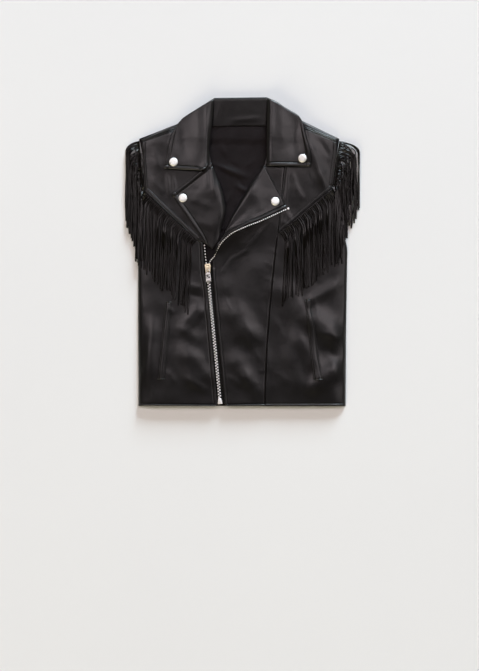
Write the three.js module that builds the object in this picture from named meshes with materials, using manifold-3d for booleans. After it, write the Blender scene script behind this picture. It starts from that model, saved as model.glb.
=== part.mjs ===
// Fringed biker vest in smooth faux leather, lying on its back and seen from above.
// Millimetres: +X to the right, +Y towards the collar, +Z up. Left and right are those of that view.
// The back lies flat on the ground, the fronts lie over it round a low hollow, and the lapels,
// the collar, the fringe and the zip lie on the fronts.
import * as THREE from 'three';
import { mergeVertices } from 'three/addons/utils/BufferGeometryUtils.js';
import Module from 'manifold-3d';

const wasm = await Module();
wasm.setup();

const gap = 0.3; // between pieces that touch
const facetSpare = 0.7; // more room where two curved pieces with different facets lie on each other
const wall = { back: 1.4, front: 1.6, lining: 0.8, lapel: 2, collar: 2.2, strip: 1, welt: 1.5, tape: 0.8 };
const hemY = -308;
const hollowTop = 10.4; // outer face of the fronts above the ground, before folds
const reach = { side: 30, shoulder: 26 }; // how far in a front rises from the side and the shoulder
const seamTop = wall.back + gap + wall.front; // outer face of a front where it meets the back
const armholeTop = 7.2; // outer face of a front along its open armhole
const collarLift = 1.7; // the back rises by this over the hidden fall of the collar
const neckSeamY = 250;

const colour = { leather: '#232122', lining: '#1d191a', fringe: '#1f1b1a', tape: '#151314' };
const finish = {
  leather: { color: colour.leather, roughness: 0.38, metalness: 0 },
  lining: { color: colour.lining, roughness: 0.7, metalness: 0 },
  fringe: { color: colour.fringe, roughness: 0.35, metalness: 0 },
  tape: { color: colour.tape, roughness: 0.9, metalness: 0 },
  nickel: { color: '#d9d7d4', roughness: 0.22, metalness: 1 },
};

const group = new THREE.Group();

function addPiece(name, geometry, kind) {
  const mesh = new THREE.Mesh(geometry, new THREE.MeshStandardMaterial(finish[kind]));
  mesh.name = name;
  group.add(mesh);
}

// Soft steps: eased goes from 0 to 1 between two values, and rounded rises steeply and levels out.
function eased(from, to, value) {
  const t = THREE.MathUtils.clamp((value - from) / (to - from), 0, 1);
  return t * t * (3 - 2 * t);
}

function rounded(distance, width) {
  const t = THREE.MathUtils.clamp(distance / width, 0, 1);
  return 1 - (1 - t) ** 2;
}

// A value read off a table between its rows.
function along(table, key, at, value) {
  const last = table.length - 1;
  let row = 0;
  while (row < last - 1 && at > table[row + 1][key]) {
    row += 1;
  }
  const share = THREE.MathUtils.clamp((at - table[row][key]) / (table[row + 1][key] - table[row][key]), 0, 1);
  return THREE.MathUtils.lerp(table[row][value], table[row + 1][value], share);
}

// The outline of the body where the fronts meet the back, from the hem up.
const side = [
  { y: -308, left: -208.4, right: 205.5 },
  { y: -150, left: -209, right: 206.5 },
  { y: -20, left: -209, right: 208.5 },
  { y: 10, left: -208.4, right: 208 },
  { y: 66, left: -202, right: 193 },
  { y: 126, left: -197.2, right: 180 },
  { y: 158, left: -198.4, right: 183 },
  { y: 196, left: -201, right: 188.4 },
  { y: 226, left: -207, right: 193 },
];
const underarmY = 14;
const shoulder = [
  { x: -207, y: 223 },
  { x: -128, y: 257 },
  { x: -62, y: 277 },
  { x: 58, y: 281 },
  { x: 117, y: 263 },
  { x: 194, y: 226 },
];

// The largest folds of the fronts: soft ridges, or troughs where the rise is below zero.
const folds = [
  { fromX: -26, fromY: -112, toX: 24, toY: -180, spread: 17, rise: 3.6 },
  { fromX: -20, fromY: -205, toX: 18, toY: -262, spread: 15, rise: 1.8 },
  { fromX: -34, fromY: -8, toX: 34, toY: 48, spread: 14, rise: -1.6 },
  { fromX: -22, fromY: -48, toX: 52, toY: 24, spread: 13, rise: 2.4 },
  { fromX: 128, fromY: -128, toX: 192, toY: -172, spread: 15, rise: 3.4 },
  { fromX: 190, fromY: -222, toX: 138, toY: -272, spread: 13, rise: 3.6 },
  { fromX: 88, fromY: -190, toX: 118, toY: -282, spread: 18, rise: 1.8 },
  { fromX: -178, fromY: -136, toX: -190, toY: -262, spread: 12, rise: 2.8 },
  { fromX: -112, fromY: -142, toX: -84, toY: -108, spread: 11, rise: 2 },
  { fromX: -118, fromY: -186, toX: -92, toY: -272, spread: 17, rise: 2.2 },
  { fromX: 128, fromY: 224, toX: 164, toY: 134, spread: 12, rise: 3 },
];

function foldRise(fold, x, y) {
  const run = new THREE.Vector2(fold.toX - fold.fromX, fold.toY - fold.fromY);
  const here = new THREE.Vector2(x - fold.fromX, y - fold.fromY);
  const share = here.dot(run) / run.lengthSq();
  const across = here.cross(run) / run.length();
  const ends = eased(-0.25, 0.3, share) * (1 - eased(0.7, 1.25, share));
  return fold.rise * Math.exp(-((across / fold.spread) ** 2)) * ends;
}

function backRise(x, y) {
  const across = eased(-165, -142, x) * (1 - eased(132, 156, x));
  return collarLift * eased(212, 228, y) * across;
}

// Outer face of the fronts.
function frontTop(x, y) {
  const fromSide = Math.min(x - along(side, 'y', y, 'left'), along(side, 'y', y, 'right') - x);
  const fromShoulder = along(shoulder, 'x', x, 'y') - y;
  const edge = THREE.MathUtils.lerp(seamTop, armholeTop, eased(underarmY - 16, underarmY + 46, y));
  const swell = 0.7 * Math.sin(x / 46 + 1.2) * Math.cos(y / 71) + 0.9 * eased(-40, 60, y);
  const creased = folds.reduce((sum, fold) => sum + foldRise(fold, x, y), 0) * rounded(fromSide, 24);
  const open = edge + (hollowTop + swell - edge) * rounded(fromSide, reach.side) + creased;
  const low = seamTop + backRise(x, y);
  return low + (open - low) * rounded(fromShoulder, reach.shoulder);
}

function backTop(x, y) {
  return wall.back + backRise(x, y);
}

// A cut edge through the rows of a table, read by its share of the length.
function cutEdge(rows) {
  const points = rows.map(([x, y]) => new THREE.Vector2(x, y));
  const curve = new THREE.Path(points);
  return (share) => curve.getPoint(THREE.MathUtils.clamp(share, 0, 1));
}

// A point of a piece between its four cut edges.
function betweenEdges({ bottom, top, left, right }, u, v) {
  const point = new THREE.Vector2();
  point.addScaledVector(bottom(u), 1 - v).addScaledVector(top(u), v);
  point.addScaledVector(left(v), 1 - u).addScaledVector(right(v), u);
  point.addScaledVector(bottom(0), -(1 - u) * (1 - v)).addScaledVector(bottom(1), -u * (1 - v));
  return point.addScaledVector(top(0), -(1 - u) * v).addScaledVector(top(1), -u * v);
}

// Shares from 0 to 1. A crowding over 1 sets them closer at 0, and one under 0 closer at 1.
function shares(count, crowding = 1) {
  const power = Math.abs(crowding);
  const even = Array.from({ length: count + 1 }, (_, i) => i / count);
  return crowding > 0 ? even.map((t) => t ** power) : even.map((t) => 1 - (1 - t) ** power);
}

// The closed wall under a grid of outer points, set in along the normals of that grid.
function wallUnder(outer, thickness) {
  const rows = outer.length;
  const columns = outer[0].length;
  const inner = outer.map((line, j) => line.map((point, i) => {
    const sideways = outer[j][Math.min(i + 1, columns - 1)].clone().sub(outer[j][Math.max(i - 1, 0)]);
    const upwards = outer[Math.min(j + 1, rows - 1)][i].clone().sub(outer[Math.max(j - 1, 0)][i]);
    return point.clone().addScaledVector(sideways.cross(upwards).normalize(), -thickness);
  }));
  const positions = [...outer.flat(), ...inner.flat()].flatMap((p) => [p.x, p.y, p.z]);
  const at = (j, i, under) => (under ? rows * columns : 0) + j * columns + i;
  const index = [];
  const quad = (a, b, c, d) => index.push(a, b, c, a, c, d);
  for (let j = 0; j < rows - 1; j += 1) {
    for (let i = 0; i < columns - 1; i += 1) {
      quad(at(j, i), at(j, i + 1), at(j + 1, i + 1), at(j + 1, i));
      quad(at(j, i, 1), at(j + 1, i, 1), at(j + 1, i + 1, 1), at(j, i + 1, 1));
    }
    quad(at(j, 0), at(j + 1, 0), at(j + 1, 0, 1), at(j, 0, 1));
    quad(at(j, columns - 1), at(j, columns - 1, 1), at(j + 1, columns - 1, 1), at(j + 1, columns - 1));
  }
  for (let i = 0; i < columns - 1; i += 1) {
    quad(at(0, i), at(0, i, 1), at(0, i + 1, 1), at(0, i + 1));
    quad(at(rows - 1, i), at(rows - 1, i + 1), at(rows - 1, i + 1, 1), at(rows - 1, i, 1));
  }
  const geometry = new THREE.BufferGeometry();
  geometry.setAttribute('position', new THREE.Float32BufferAttribute(positions, 3));
  geometry.setIndex(index);
  return geometry;
}

// Cut pieces keep their outer grids, so that what lies on them can be seated on their facets.
const grids = {};

function cutPiece(name, { edges, columns, rows, thickness, height, kind = 'leather' }) {
  grids[name] = rows.map((v) => columns.map((u) => {
    const { x, y } = betweenEdges(edges, u, v);
    return new THREE.Vector3(x, y, height(x, y, u, v));
  }));
  addPiece(name, wallUnder(grids[name], thickness), kind);
}

// The four edges of a piece that runs between two long edges.
function edgesBetween(leftRows, rightRows) {
  return {
    bottom: cutEdge([leftRows.at(0), rightRows.at(0)]),
    top: cutEdge([leftRows.at(-1), rightRows.at(-1)]),
    left: cutEdge(leftRows),
    right: cutEdge(rightRows),
  };
}

function facetHeight(a, b, c, x, y) {
  const whole = (b.x - a.x) * (c.y - a.y) - (c.x - a.x) * (b.y - a.y);
  const shareB = ((x - a.x) * (c.y - a.y) - (c.x - a.x) * (y - a.y)) / whole;
  const shareC = ((b.x - a.x) * (y - a.y) - (x - a.x) * (b.y - a.y)) / whole;
  const slack = -1e-6;
  const inside = shareB >= slack && shareC >= slack && shareB + shareC <= 1 - slack;
  return inside ? a.z + shareB * (b.z - a.z) + shareC * (c.z - a.z) : -Infinity;
}

// Height of the highest of the named pieces under a point, or the least height given.
function seatUnder(names, x, y, least = 0) {
  let height = least;
  for (const name of names) {
    const grid = grids[name];
    for (let j = 0; j < grid.length - 1; j += 1) {
      for (let i = 0; i < grid[j].length - 1; i += 1) {
        const [a, b, c, d] = [grid[j][i], grid[j][i + 1], grid[j + 1][i + 1], grid[j + 1][i]];
        height = Math.max(height, facetHeight(a, b, c, x, y), facetHeight(a, c, d, x, y));
      }
    }
  }
  return height;
}

// A flat ribbon along a row of points that lie on its upper face, wide across its path.
function ribbon(path, width, thickness) {
  const outer = path.map((point, i) => {
    const before = path[Math.max(i - 1, 0)];
    const after = path[Math.min(i + 1, path.length - 1)];
    const across = new THREE.Vector3(after.y - before.y, before.x - after.x, 0).setLength(width / 2);
    return [point.clone().sub(across), point.clone().add(across)];
  });
  return wallUnder(outer, thickness);
}

// A strand with a flat underside and a low ridge, along a row of points on its ridge.
function strandAlong(path, width, thickness) {
  const sections = path.map((point, i) => {
    const before = path[Math.max(i - 1, 0)];
    const after = path[Math.min(i + 1, path.length - 1)];
    const across = new THREE.Vector3(after.y - before.y, before.x - after.x, 0).setLength(width / 2);
    const foot = point.clone().setZ(point.z - thickness);
    return [foot.clone().sub(across), foot.clone().add(across), point];
  });
  const positions = sections.flat().flatMap((p) => [p.x, p.y, p.z]);
  const index = [0, 1, 2];
  for (let i = 0; i < sections.length - 1; i += 1) {
    for (let k = 0; k < 3; k += 1) {
      const [a, b] = [3 * i + k, 3 * i + ((k + 1) % 3)];
      index.push(a, a + 3, b + 3, a, b + 3, b);
    }
  }
  const last = 3 * (sections.length - 1);
  index.push(last, last + 2, last + 1);
  const geometry = new THREE.BufferGeometry();
  geometry.setAttribute('position', new THREE.Float32BufferAttribute(positions, 3));
  geometry.setIndex(index);
  return geometry;
}

function solidOf(geometry) {
  const bare = geometry.clone();
  bare.deleteAttribute('normal');
  bare.deleteAttribute('uv');
  const merged = mergeVertices(bare, 1e-3);
  const mesh = { numProp: 3, vertProperties: merged.attributes.position.array };
  return new wasm.Manifold(new wasm.Mesh({ ...mesh, triVerts: new Uint32Array(merged.index.array) }));
}

function geometryOf(solid) {
  const mesh = solid.getMesh();
  const geometry = new THREE.BufferGeometry();
  geometry.setAttribute('position', new THREE.Float32BufferAttribute(mesh.vertProperties, 3));
  geometry.setIndex([...mesh.triVerts]);
  return geometry;
}

function joined(geometries) {
  return geometryOf(geometries.map(solidOf).reduce((sum, solid) => sum.add(solid)));
}

// Back: one piece from side to side, flat on the ground.
const bodySide = (key, shift, topY) => cutEdge([
  ...side.filter((row) => row.y < topY).map((row) => [row[key] + shift, row.y]),
  [along(side, 'y', topY, key) + shift, topY],
]);
const backTopEdge = [[-207, 226], [-128, 256.6], [-64, 276], [-52, 257], [-30, neckSeamY], [26, 251],
  [46, 258], [58, 280], [117, 262.6], [193, 226]];
cutPiece('back_panel', {
  edges: {
    bottom: cutEdge([[-208.4, hemY], [205.5, hemY]]),
    top: cutEdge(backTopEdge),
    left: bodySide('left', 0, 226),
    right: bodySide('right', 0, 226),
  },
  columns: shares(16),
  rows: [0, 0.28, 0.52, 0.66, 0.76, 0.84, 0.9, 0.94, 0.97, 1],
  thickness: wall.back,
  height: backTop,
});

// Lining of the back, where the open neck shows it.
const liningPuckers = [
  { fromX: -40, fromY: 168, toX: 6, toY: 150, spread: 6, rise: 1.6 },
  { fromX: -14, fromY: 132, toX: 14, toY: 118, spread: 5, rise: 1.4 },
  { fromX: -30, fromY: 200, toX: -24, toY: 236, spread: 6, rise: 1 },
];
cutPiece('back_lining', {
  edges: {
    bottom: cutEdge([[-64, 44], [4, 44]]),
    top: cutEdge([[-54, 240], [-44, 247.5], [-28, 249], [24, 249.6], [38, 248], [50, 240]]),
    left: cutEdge([[-64, 44], [-84, 150], [-54, 240]]),
    right: cutEdge([[4, 44], [66, 180], [50, 240]]),
  },
  columns: shares(8),
  rows: shares(10),
  thickness: wall.lining,
  height: (x, y) => backTop(x, y) + gap + wall.lining + 0.4
    + liningPuckers.reduce((sum, fold) => sum + foldRise(fold, x, y), 0),
  kind: 'lining',
});

// Fronts. The zip runs from the slider down to the hem, and the princess seam shapes the right front.
const sliderY = -33;
const zipCentre = [
  { y: -304, x: -45 },
  { y: -60, x: -68.4 },
  { y: -20, x: -70.5 },
];
const leftZipEdge = [[-50.5, hemY], [-70.6, -76], [-76, -43], [-77, -24], [-79.4, 18]];
const rightZipEdge = [[-36, hemY], [-57.4, -76], [-60.8, -30]];
const leftRoll = [[-61, 5], [-51, 18], [-40, 54], [-34, 83], [-40, 118], [-52, 150], [-63, 178]];
const rightRoll = [[-55.6, -6], [-49, 12], [-38, 33], [-24, 66], [-12, 88], [1, 111], [18, 139],
  [32, 156], [42.6, 173]];
const princess = [[44.8, hemY], [47.6, -214], [51.6, -155], [56.4, -95], [64.4, -16], [70, 36]];
const princessAbove = [[70, 36], [76, 96], [83, 168], [94, 258]];
const leftYokeSeam = [[-197, 121], [-88, 18.5]];
const rightYokeSeam = [[70.4, 36], [127, 84], [180.4, 129]];
const seamShift = (rows, dx, dy) => rows.map(([x, y]) => [x + dx, y + dy]);

cutPiece('front_left', {
  edges: {
    bottom: cutEdge([[-208.4, hemY], leftZipEdge[0]]),
    top: cutEdge([...leftYokeSeam, leftZipEdge.at(-1)]),
    left: bodySide('left', 0, 121),
    right: cutEdge(leftZipEdge),
  },
  columns: shares(11, 1.25),
  rows: shares(18),
  thickness: wall.front,
  height: frontTop,
});

cutPiece('front_right_centre', {
  edges: {
    bottom: cutEdge([rightZipEdge[0], [44.6, hemY]]),
    top: cutEdge([[60, 268], [93.6, 258]]),
    left: cutEdge([...rightZipEdge, ...rightRoll, [52, 215], [60, 268]]),
    right: cutEdge(seamShift([...princess, ...princessAbove.slice(1)], -0.2, 0)),
  },
  columns: shares(8),
  rows: shares(24),
  thickness: wall.front,
  height: frontTop,
});

cutPiece('front_right_side', {
  edges: {
    bottom: cutEdge([[45, hemY], [205.5, hemY]]),
    top: cutEdge(seamShift(rightYokeSeam, 0, -0.4)),
    left: cutEdge([...seamShift(princess.slice(0, -1), 0.2, 0), [70.2, 35.6]]),
    right: bodySide('right', 0, 128.6),
  },
  columns: shares(11, -1.25),
  rows: shares(17),
  thickness: wall.front,
  height: frontTop,
});

cutPiece('yoke_left', {
  edges: {
    bottom: cutEdge(seamShift([...leftYokeSeam, [-79, 18.2], [-61.4, 5]], 0, 0.6)),
    top: cutEdge([[-200, 223], [-133, 245], [-70, 262]]),
    left: cutEdge([[-197, 121.5], [-198.4, 158], [-201, 196], [-200, 223]]),
    right: cutEdge([...seamShift(leftRoll, 0, 0.6), [-68, 215], [-70, 262]]),
  },
  columns: shares(9),
  rows: shares(12),
  thickness: wall.front,
  height: frontTop,
});

cutPiece('yoke_right', {
  edges: {
    bottom: cutEdge(seamShift(rightYokeSeam, 0.2, 0.2)),
    top: cutEdge([[94, 258], [122, 248], [186, 222]]),
    left: cutEdge(seamShift(princessAbove, 0.2, 0.2).slice(0, 3).concat([[94, 258]])),
    right: cutEdge([[180.6, 129.2], [183, 158], [188, 196], [186, 222]]),
  },
  columns: shares(9, -1.15),
  rows: shares(10),
  thickness: wall.front,
  height: frontTop,
});

// Shoulder bands: the back comes forward over each shoulder to a seam on the front.
const bands = {
  shoulder_band_left: {
    seam: [[-199.6, 223.8], [-133, 245.8], [-70, 262.8]],
    back: [[-206, 223], [-128, 256.6], [-64, 275]],
  },
  shoulder_band_right: {
    seam: [[60, 268.8], [93.8, 259], [122, 249], [185.6, 222.8]],
    back: [[59, 279], [117, 262], [192, 226]],
  },
};
for (const [name, { seam, back }] of Object.entries(bands)) {
  cutPiece(name, {
    edges: {
      bottom: cutEdge(seam),
      top: cutEdge(back),
      left: cutEdge([seam.at(0), back.at(0)]),
      right: cutEdge([seam.at(-1), back.at(-1)]),
    },
    columns: shares(10),
    rows: shares(3),
    thickness: wall.front,
    height: frontTop,
  });
}

// Strips stitched down along the armholes and over the yoke seams.
function strip(name, leftRows, rightRows, seat) {
  cutPiece(name, {
    edges: edgesBetween(leftRows, rightRows),
    columns: [0, 1],
    rows: shares(14),
    thickness: wall.strip,
    height: (x, y) => seatUnder([seat], x, y, frontTop(x, y)) + wall.strip + 2 * gap,
  });
}
strip('armhole_strip_left', [[-196.6, 128], [-198, 158], [-200.6, 196], [-199.8, 219]],
  [[-189.4, 128], [-191.4, 158], [-194, 196], [-193, 220]], 'yoke_left');
strip('armhole_strip_right', [[172.4, 132], [174.6, 158], [179.6, 196], [180, 219]],
  [[180, 134], [182.4, 158], [187.2, 196], [185.4, 217]], 'yoke_right');
strip('yoke_strip_left', [[-91.6, 22.8], [-196.4, 121.8]], [[-85.6, 28.4], [-190, 126.6]], 'yoke_left');
strip('yoke_strip_right', [[71.8, 46], [121, 88.4], [171.6, 130.4]], [[71.2, 37.4], [127.2, 85], [179.8, 129.6]],
  'yoke_right');

// Lapels: the front edges folded back. Each rises at its roll and settles towards its outer edge.
const lapels = {
  lapel_left: {
    outer: [[-76.5, 19.5], [-142, 114]],
    roll: leftRoll,
    rollAt: 1,
    beds: ['front_left', 'yoke_left'],
    columns: shares(9, -1.5),
    lift: 5,
    edgeLift: 0.6,
    spare: 0.05,
  },
  lapel_right: {
    outer: [[-59.5, -8.5], [-51.5, 9], [-40.5, 23.5], [-24, 37.6], [-9, 45.6], [13, 54.8], [34, 63], [88, 88]],
    roll: rightRoll,
    rollAt: 0,
    beds: ['front_right_centre', 'yoke_right'],
    columns: shares(9, 1.5),
    lift: 6,
    edgeLift: 6.5,
    spare: facetSpare,
  },
};
const rollWidth = 8;
for (const [name, { outer, roll, rollAt, beds, columns, lift, edgeLift, spare }] of Object.entries(lapels)) {
  cutPiece(name, {
    edges: rollAt ? edgesBetween(outer, roll) : edgesBetween(roll, outer),
    columns,
    rows: shares(13),
    thickness: wall.lapel,
    height: (x, y, u, v) => {
      const fromRoll = Math.abs(u - rollAt);
      const span = THREE.MathUtils.lerp(12, 96, v);
      const puff = lift * rounded(v, 0.4) * (1 - 0.7 * eased(0.7, 1, v));
      const rise = puff * rounded(fromRoll * span, rollWidth) * (1 - 0.8 * eased(0.1, 0.95, fromRoll));
      const hump = edgeLift * Math.sin(Math.PI * v) * fromRoll ** 2;
      return seatUnder(beds, x, y, frontTop(x, y)) + gap + wall.lapel + spare + rise + hump;
    },
  });
}

// Collar: a stand inside the neck, folded over along its top, and the fall that lies on the shoulders.
const collarBed = (x, y) => {
  const beyond = y - along(shoulder, 'x', x, 'y');
  const low = seamTop + collarLift;
  const shoulderTop = beyond < 0 ? frontTop(x, y) : THREE.MathUtils.lerp(low, collarLift, eased(0, 24, beyond));
  return seatUnder(['lapel_left', 'lapel_right'], x, y, shoulderTop);
};
const collars = {
  collar_left: {
    outer: [[-157, 165], [-147.4, 209], [-140, 235], [-128, 257]],
    roll: [[-75, 160.6], [-69, 170], [-66.4, 184], [-66.4, 206], [-63, 240], [-60.6, 257], [-57, 307]],
    fold: [[-128, 257], [-117, 269], [-57, 307]],
    rollAt: 1,
    columns: shares(10, -1.5),
  },
  collar_right: {
    outer: [[134.4, 169], [133.4, 196], [123, 235], [117, 263]],
    roll: [[46.8, 170.4], [47.4, 240], [48.6, 308]],
    fold: [[48.6, 308], [67, 300], [83.6, 289], [110, 273], [117, 263]],
    rollAt: 0,
    columns: shares(10, 1.5),
  },
};
const collarRise = { roll: 8, edge: 1.4 };
for (const [name, { outer, roll, fold, rollAt, columns }] of Object.entries(collars)) {
  cutPiece(name, {
    edges: {
      bottom: cutEdge(rollAt ? [outer.at(0), roll.at(0)] : [roll.at(0), outer.at(0)]),
      top: cutEdge(fold),
      left: cutEdge(rollAt ? outer : roll),
      right: cutEdge(rollAt ? roll : outer),
    },
    columns,
    rows: [0, 0.09, 0.18, 0.28, 0.38, 0.48, 0.57, 0.65, 0.73, 0.8, 0.87, 0.94, 1],
    thickness: wall.collar,
    height: (x, y, u, v) => {
      const fromRoll = Math.abs(u - rollAt);
      const rise = collarRise.roll * rounded(fromRoll, 0.12) * (1 - 0.86 * eased(0.08, 0.95, fromRoll));
      const towardsTop = rounded(1 - v, 0.16);
      const loft = (rise + collarRise.edge) * towardsTop;
      return collarBed(x, y) + gap + wall.collar + loft + collarRise.edge * rounded(1 - v, 0.05) * 0.5;
    },
  });
}
cutPiece('collar_stand', {
  edges: {
    bottom: cutEdge([[-61.6, 251], [-45.6, 250.4], [-2, 252], [43, 251.4], [47.2, 251.6]]),
    top: cutEdge([[-56.4, 306.6], [48.2, 308]]),
    left: cutEdge([[-61.6, 251], [-60, 257.4], [-56.4, 306.6]]),
    right: cutEdge([[47.2, 251.6], [48.2, 308]]),
  },
  columns: shares(10),
  rows: [0, 0.25, 0.5, 0.7, 0.84, 0.93, 1],
  thickness: wall.collar,
  height: (x, y, u, v) => wall.back + collarLift + gap + wall.collar + 0.4 + 3 * Math.sin(Math.PI * v * 0.9)
    - 1.6 * eased(0.7, 1, v),
});
cutPiece('collar_fall', {
  edges: {
    bottom: cutEdge([[-120, 239], [112, 240]]),
    top: cutEdge([[-56, 305], [48, 306]]),
    left: cutEdge([[-120, 239], [-124, 256], [-114, 267], [-56, 305]]),
    right: cutEdge([[112, 240], [114, 261], [106, 272], [48, 306]]),
  },
  columns: shares(6),
  rows: shares(5),
  thickness: wall.back,
  height: () => wall.back,
});

// Pocket welts, stitched down on the fronts.
function welt(name, leftRows, rightRows, seat) {
  cutPiece(name, {
    edges: edgesBetween(leftRows, rightRows),
    columns: [0, 0.5, 1],
    rows: shares(14),
    thickness: wall.welt,
    height: (x, y, u) => seatUnder([seat], x, y) + wall.welt + gap + 0.2 + 0.5 * Math.sin(Math.PI * u),
  });
}
welt('pocket_welt_left', [[-169.4, -255], [-154.8, -100]], [[-155.6, -254.4], [-141, -99.4]], 'front_left');
welt('pocket_welt_right', [[140.6, -256], [123, -95]], [[158.6, -255], [134.6, -94]], 'front_right_side');

// Zip: two tapes under the front edges, the closed teeth below the slider and the open ones above it.
const zip = { teethWidth: 6.4, halfWidth: 4.6, teethThick: 2.6, tapeWidth: 13, tapeDrop: 0.8 };
const teethTop = zip.teethThick - zip.tapeDrop + gap; // of the teeth, above zipTop
const zipTop = (x, y) => frontTop(x, y) - wall.front - gap; // upper face of the tapes
const zipLine = (y, shift) => new THREE.Vector2(along(zipCentre, 'y', y, 'x') + shift, y);
const steps = (from, to, count) => shares(count).map((t) => THREE.MathUtils.lerp(from, to, t));
const raised = (points, lift) => points.map(({ x, y }) => new THREE.Vector3(x, y, zipTop(x, y) + lift));
const tapeShift = zip.tapeWidth / 2 + gap / 2;
const slider = { y: -33.4, length: 18, width: 12, foot: 9.8, plate: 1.5, turn: THREE.MathUtils.degToRad(3) };

const leftOpenTeeth = [[-73, -22.6], [-74.6, -8], [-76.4, 12.6]];
const vectors = (rows) => rows.map(([x, y]) => new THREE.Vector2(x, y));
const tapeY = steps(-303, -46, 10);
const leftTapePath = [...tapeY.map((y) => zipLine(y, -tapeShift)), ...vectors([[-79.6, -22], [-84, 14]])];
const rightTapePath = [...tapeY.map((y) => zipLine(y, tapeShift)), ...vectors([[-62, -33]])];
addPiece('zip_tape_left', ribbon(raised(leftTapePath, -zip.tapeDrop), zip.tapeWidth, wall.tape), 'tape');
addPiece('zip_tape_right', ribbon(raised(rightTapePath, -zip.tapeDrop), zip.tapeWidth, wall.tape), 'tape');

const closedPath = steps(-291, slider.y - 4, 12).map((y) => zipLine(y, 0));
addPiece('zip_teeth_closed', ribbon(raised(closedPath, teethTop), zip.teethWidth, zip.teethThick), 'nickel');
const leftTeeth = raised(vectors(leftOpenTeeth), teethTop);
addPiece('zip_teeth_left', ribbon(leftTeeth, zip.halfWidth, zip.teethThick), 'nickel');

// The right open teeth follow the outer edge of the right lapel, up from the slider.
const lapelEdge = grids.lapel_right.map((row) => row.at(-1));
const teethShift = 5 * gap + zip.halfWidth / 2; // clear of the slanting edge of the lapel
const rightTeeth = lapelEdge.slice(0, -1).map((point, i) => {
  const ahead = lapelEdge[i + 1].clone().sub(point);
  const spare = 1.8 * rounded(5 - i, 6); // the narrow end of the lapel leans out over its edge
  return new THREE.Vector3(ahead.y, -ahead.x, 0).setLength(teethShift + spare).add(point);
});
const teethStart = [[-66.8, -22.8], [-64.2, -17.4]].map(([x, y], i) => {
  const z = THREE.MathUtils.lerp(zipTop(x, y) + teethTop, rightTeeth[0].z + 0.6, 0.7 * i);
  return new THREE.Vector3(x, y, z);
});
addPiece('zip_teeth_right', ribbon([...teethStart, ...rightTeeth], zip.halfWidth, zip.teethThick), 'nickel');

// Small metal pieces are made from outlines, raised along Z.
function raisedShape(points, height, z, hole) {
  const shape = new THREE.Shape(points.map(([x, y]) => new THREE.Vector2(x, y)));
  if (hole) {
    shape.holes.push(new THREE.Path(hole.map(([x, y]) => new THREE.Vector2(x, y))));
  }
  return new THREE.ExtrudeGeometry(shape, { depth: height, bevelEnabled: false }).translate(0, 0, z);
}

// A four-sided outline with cut corners.
function outline(topWidth, footWidth, topY, footY, corner) {
  const [top, foot] = [topWidth / 2, footWidth / 2];
  return [[-foot + corner, footY], [foot - corner, footY], [foot, footY + corner], [top, topY - corner],
    [top - corner, topY], [-top + corner, topY], [-top, topY - corner], [-foot, footY + corner]];
}

function placed(name, geometry, { x, y, z, turn }) {
  addPiece(name, geometry, 'nickel');
  const mesh = group.children.at(-1);
  mesh.position.set(x, y, z);
  mesh.rotation.z = turn;
}

// Slider: two plates round the teeth, joined by a wedge, with a bridge that holds the pull.
const sliderPlace = { x: along(zipCentre, 'y', slider.y, 'x'), y: slider.y, turn: slider.turn };
sliderPlace.z = zipTop(sliderPlace.x, slider.y);
const plateZ = teethTop + gap;
const plateTop = plateZ + slider.plate;
const under = -wall.tape - zip.tapeDrop - gap - slider.plate;
const half = slider.length / 2;
const flange = { in: 4.2, out: 5.2, foot: -half + 0.6, top: 1.5 };
const bridge = { width: 2.6, foot: -4.6, top: 4.6, wall: 1, height: 3.3 };
const hinge = { y: bridge.foot + bridge.wall + 1, z: plateTop + 1.15, radius: 0.65 };
const sideFlange = (sign) => raisedShape([[sign * flange.in, flange.foot], [sign * flange.out, flange.foot],
  [sign * flange.out, flange.top], [sign * flange.in, flange.top]], plateZ + 0.2, 0);
const archOutline = (inset, corner, foot) => [
  [bridge.foot + inset, foot], [bridge.top - inset, foot],
  [bridge.top - inset, bridge.height - inset - corner], [bridge.top - inset - corner, bridge.height - inset],
  [bridge.foot + inset + corner, bridge.height - inset], [bridge.foot + inset, bridge.height - inset - corner]];
const arch = raisedShape(archOutline(0, 1.1, 0), bridge.width, -bridge.width / 2, archOutline(bridge.wall, 0.7, 0.1));
arch.rotateX(Math.PI / 2).rotateZ(Math.PI / 2).translate(0, 0, plateTop - 0.1);
placed('zip_slider', joined([
  raisedShape(outline(slider.width, slider.foot, half, -half, 1.4), slider.plate, plateZ),
  raisedShape(outline(slider.width, slider.foot, half, -half, 1.4), slider.plate, under),
  raisedShape([[-0.4, half - 4.6], [0.9, half - 0.6], [-1.7, half - 0.6]], plateZ - under + 0.2, under + 0.2),
  sideFlange(-1),
  sideFlange(1),
  arch,
]), sliderPlace);

// Pull: a bar through the bridge, two arms and a plate with a slot.
const pull = { width: 10.6, top: -8.4, foot: -28, thick: 1.3, arm: { in: 1.9, out: 3.5 } };
const armOutline = (sign) => [[sign * pull.arm.in, pull.top - 1], [sign * pull.arm.out, pull.top - 1],
  [sign * pull.arm.out, hinge.y + 0.5], [sign * pull.arm.in, hinge.y + 0.5]];
const arms = [-1, 1].map((sign) => raisedShape(armOutline(sign), pull.thick, hinge.z - hinge.radius));
const bar = new THREE.CylinderGeometry(hinge.radius, hinge.radius, 2 * pull.arm.in + 0.6, 8).rotateZ(Math.PI / 2);
bar.translate(0, hinge.y, hinge.z);
const pullPlate = raisedShape(outline(pull.width - 1.4, pull.width, pull.top, pull.foot, 1.6), pull.thick,
  hinge.z - hinge.radius, [[-2, -20], [2, -20], [2, -13], [-2, -13]]);
placed('zip_pull', joined([pullPlate, ...arms, bar]), sliderPlace);

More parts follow.
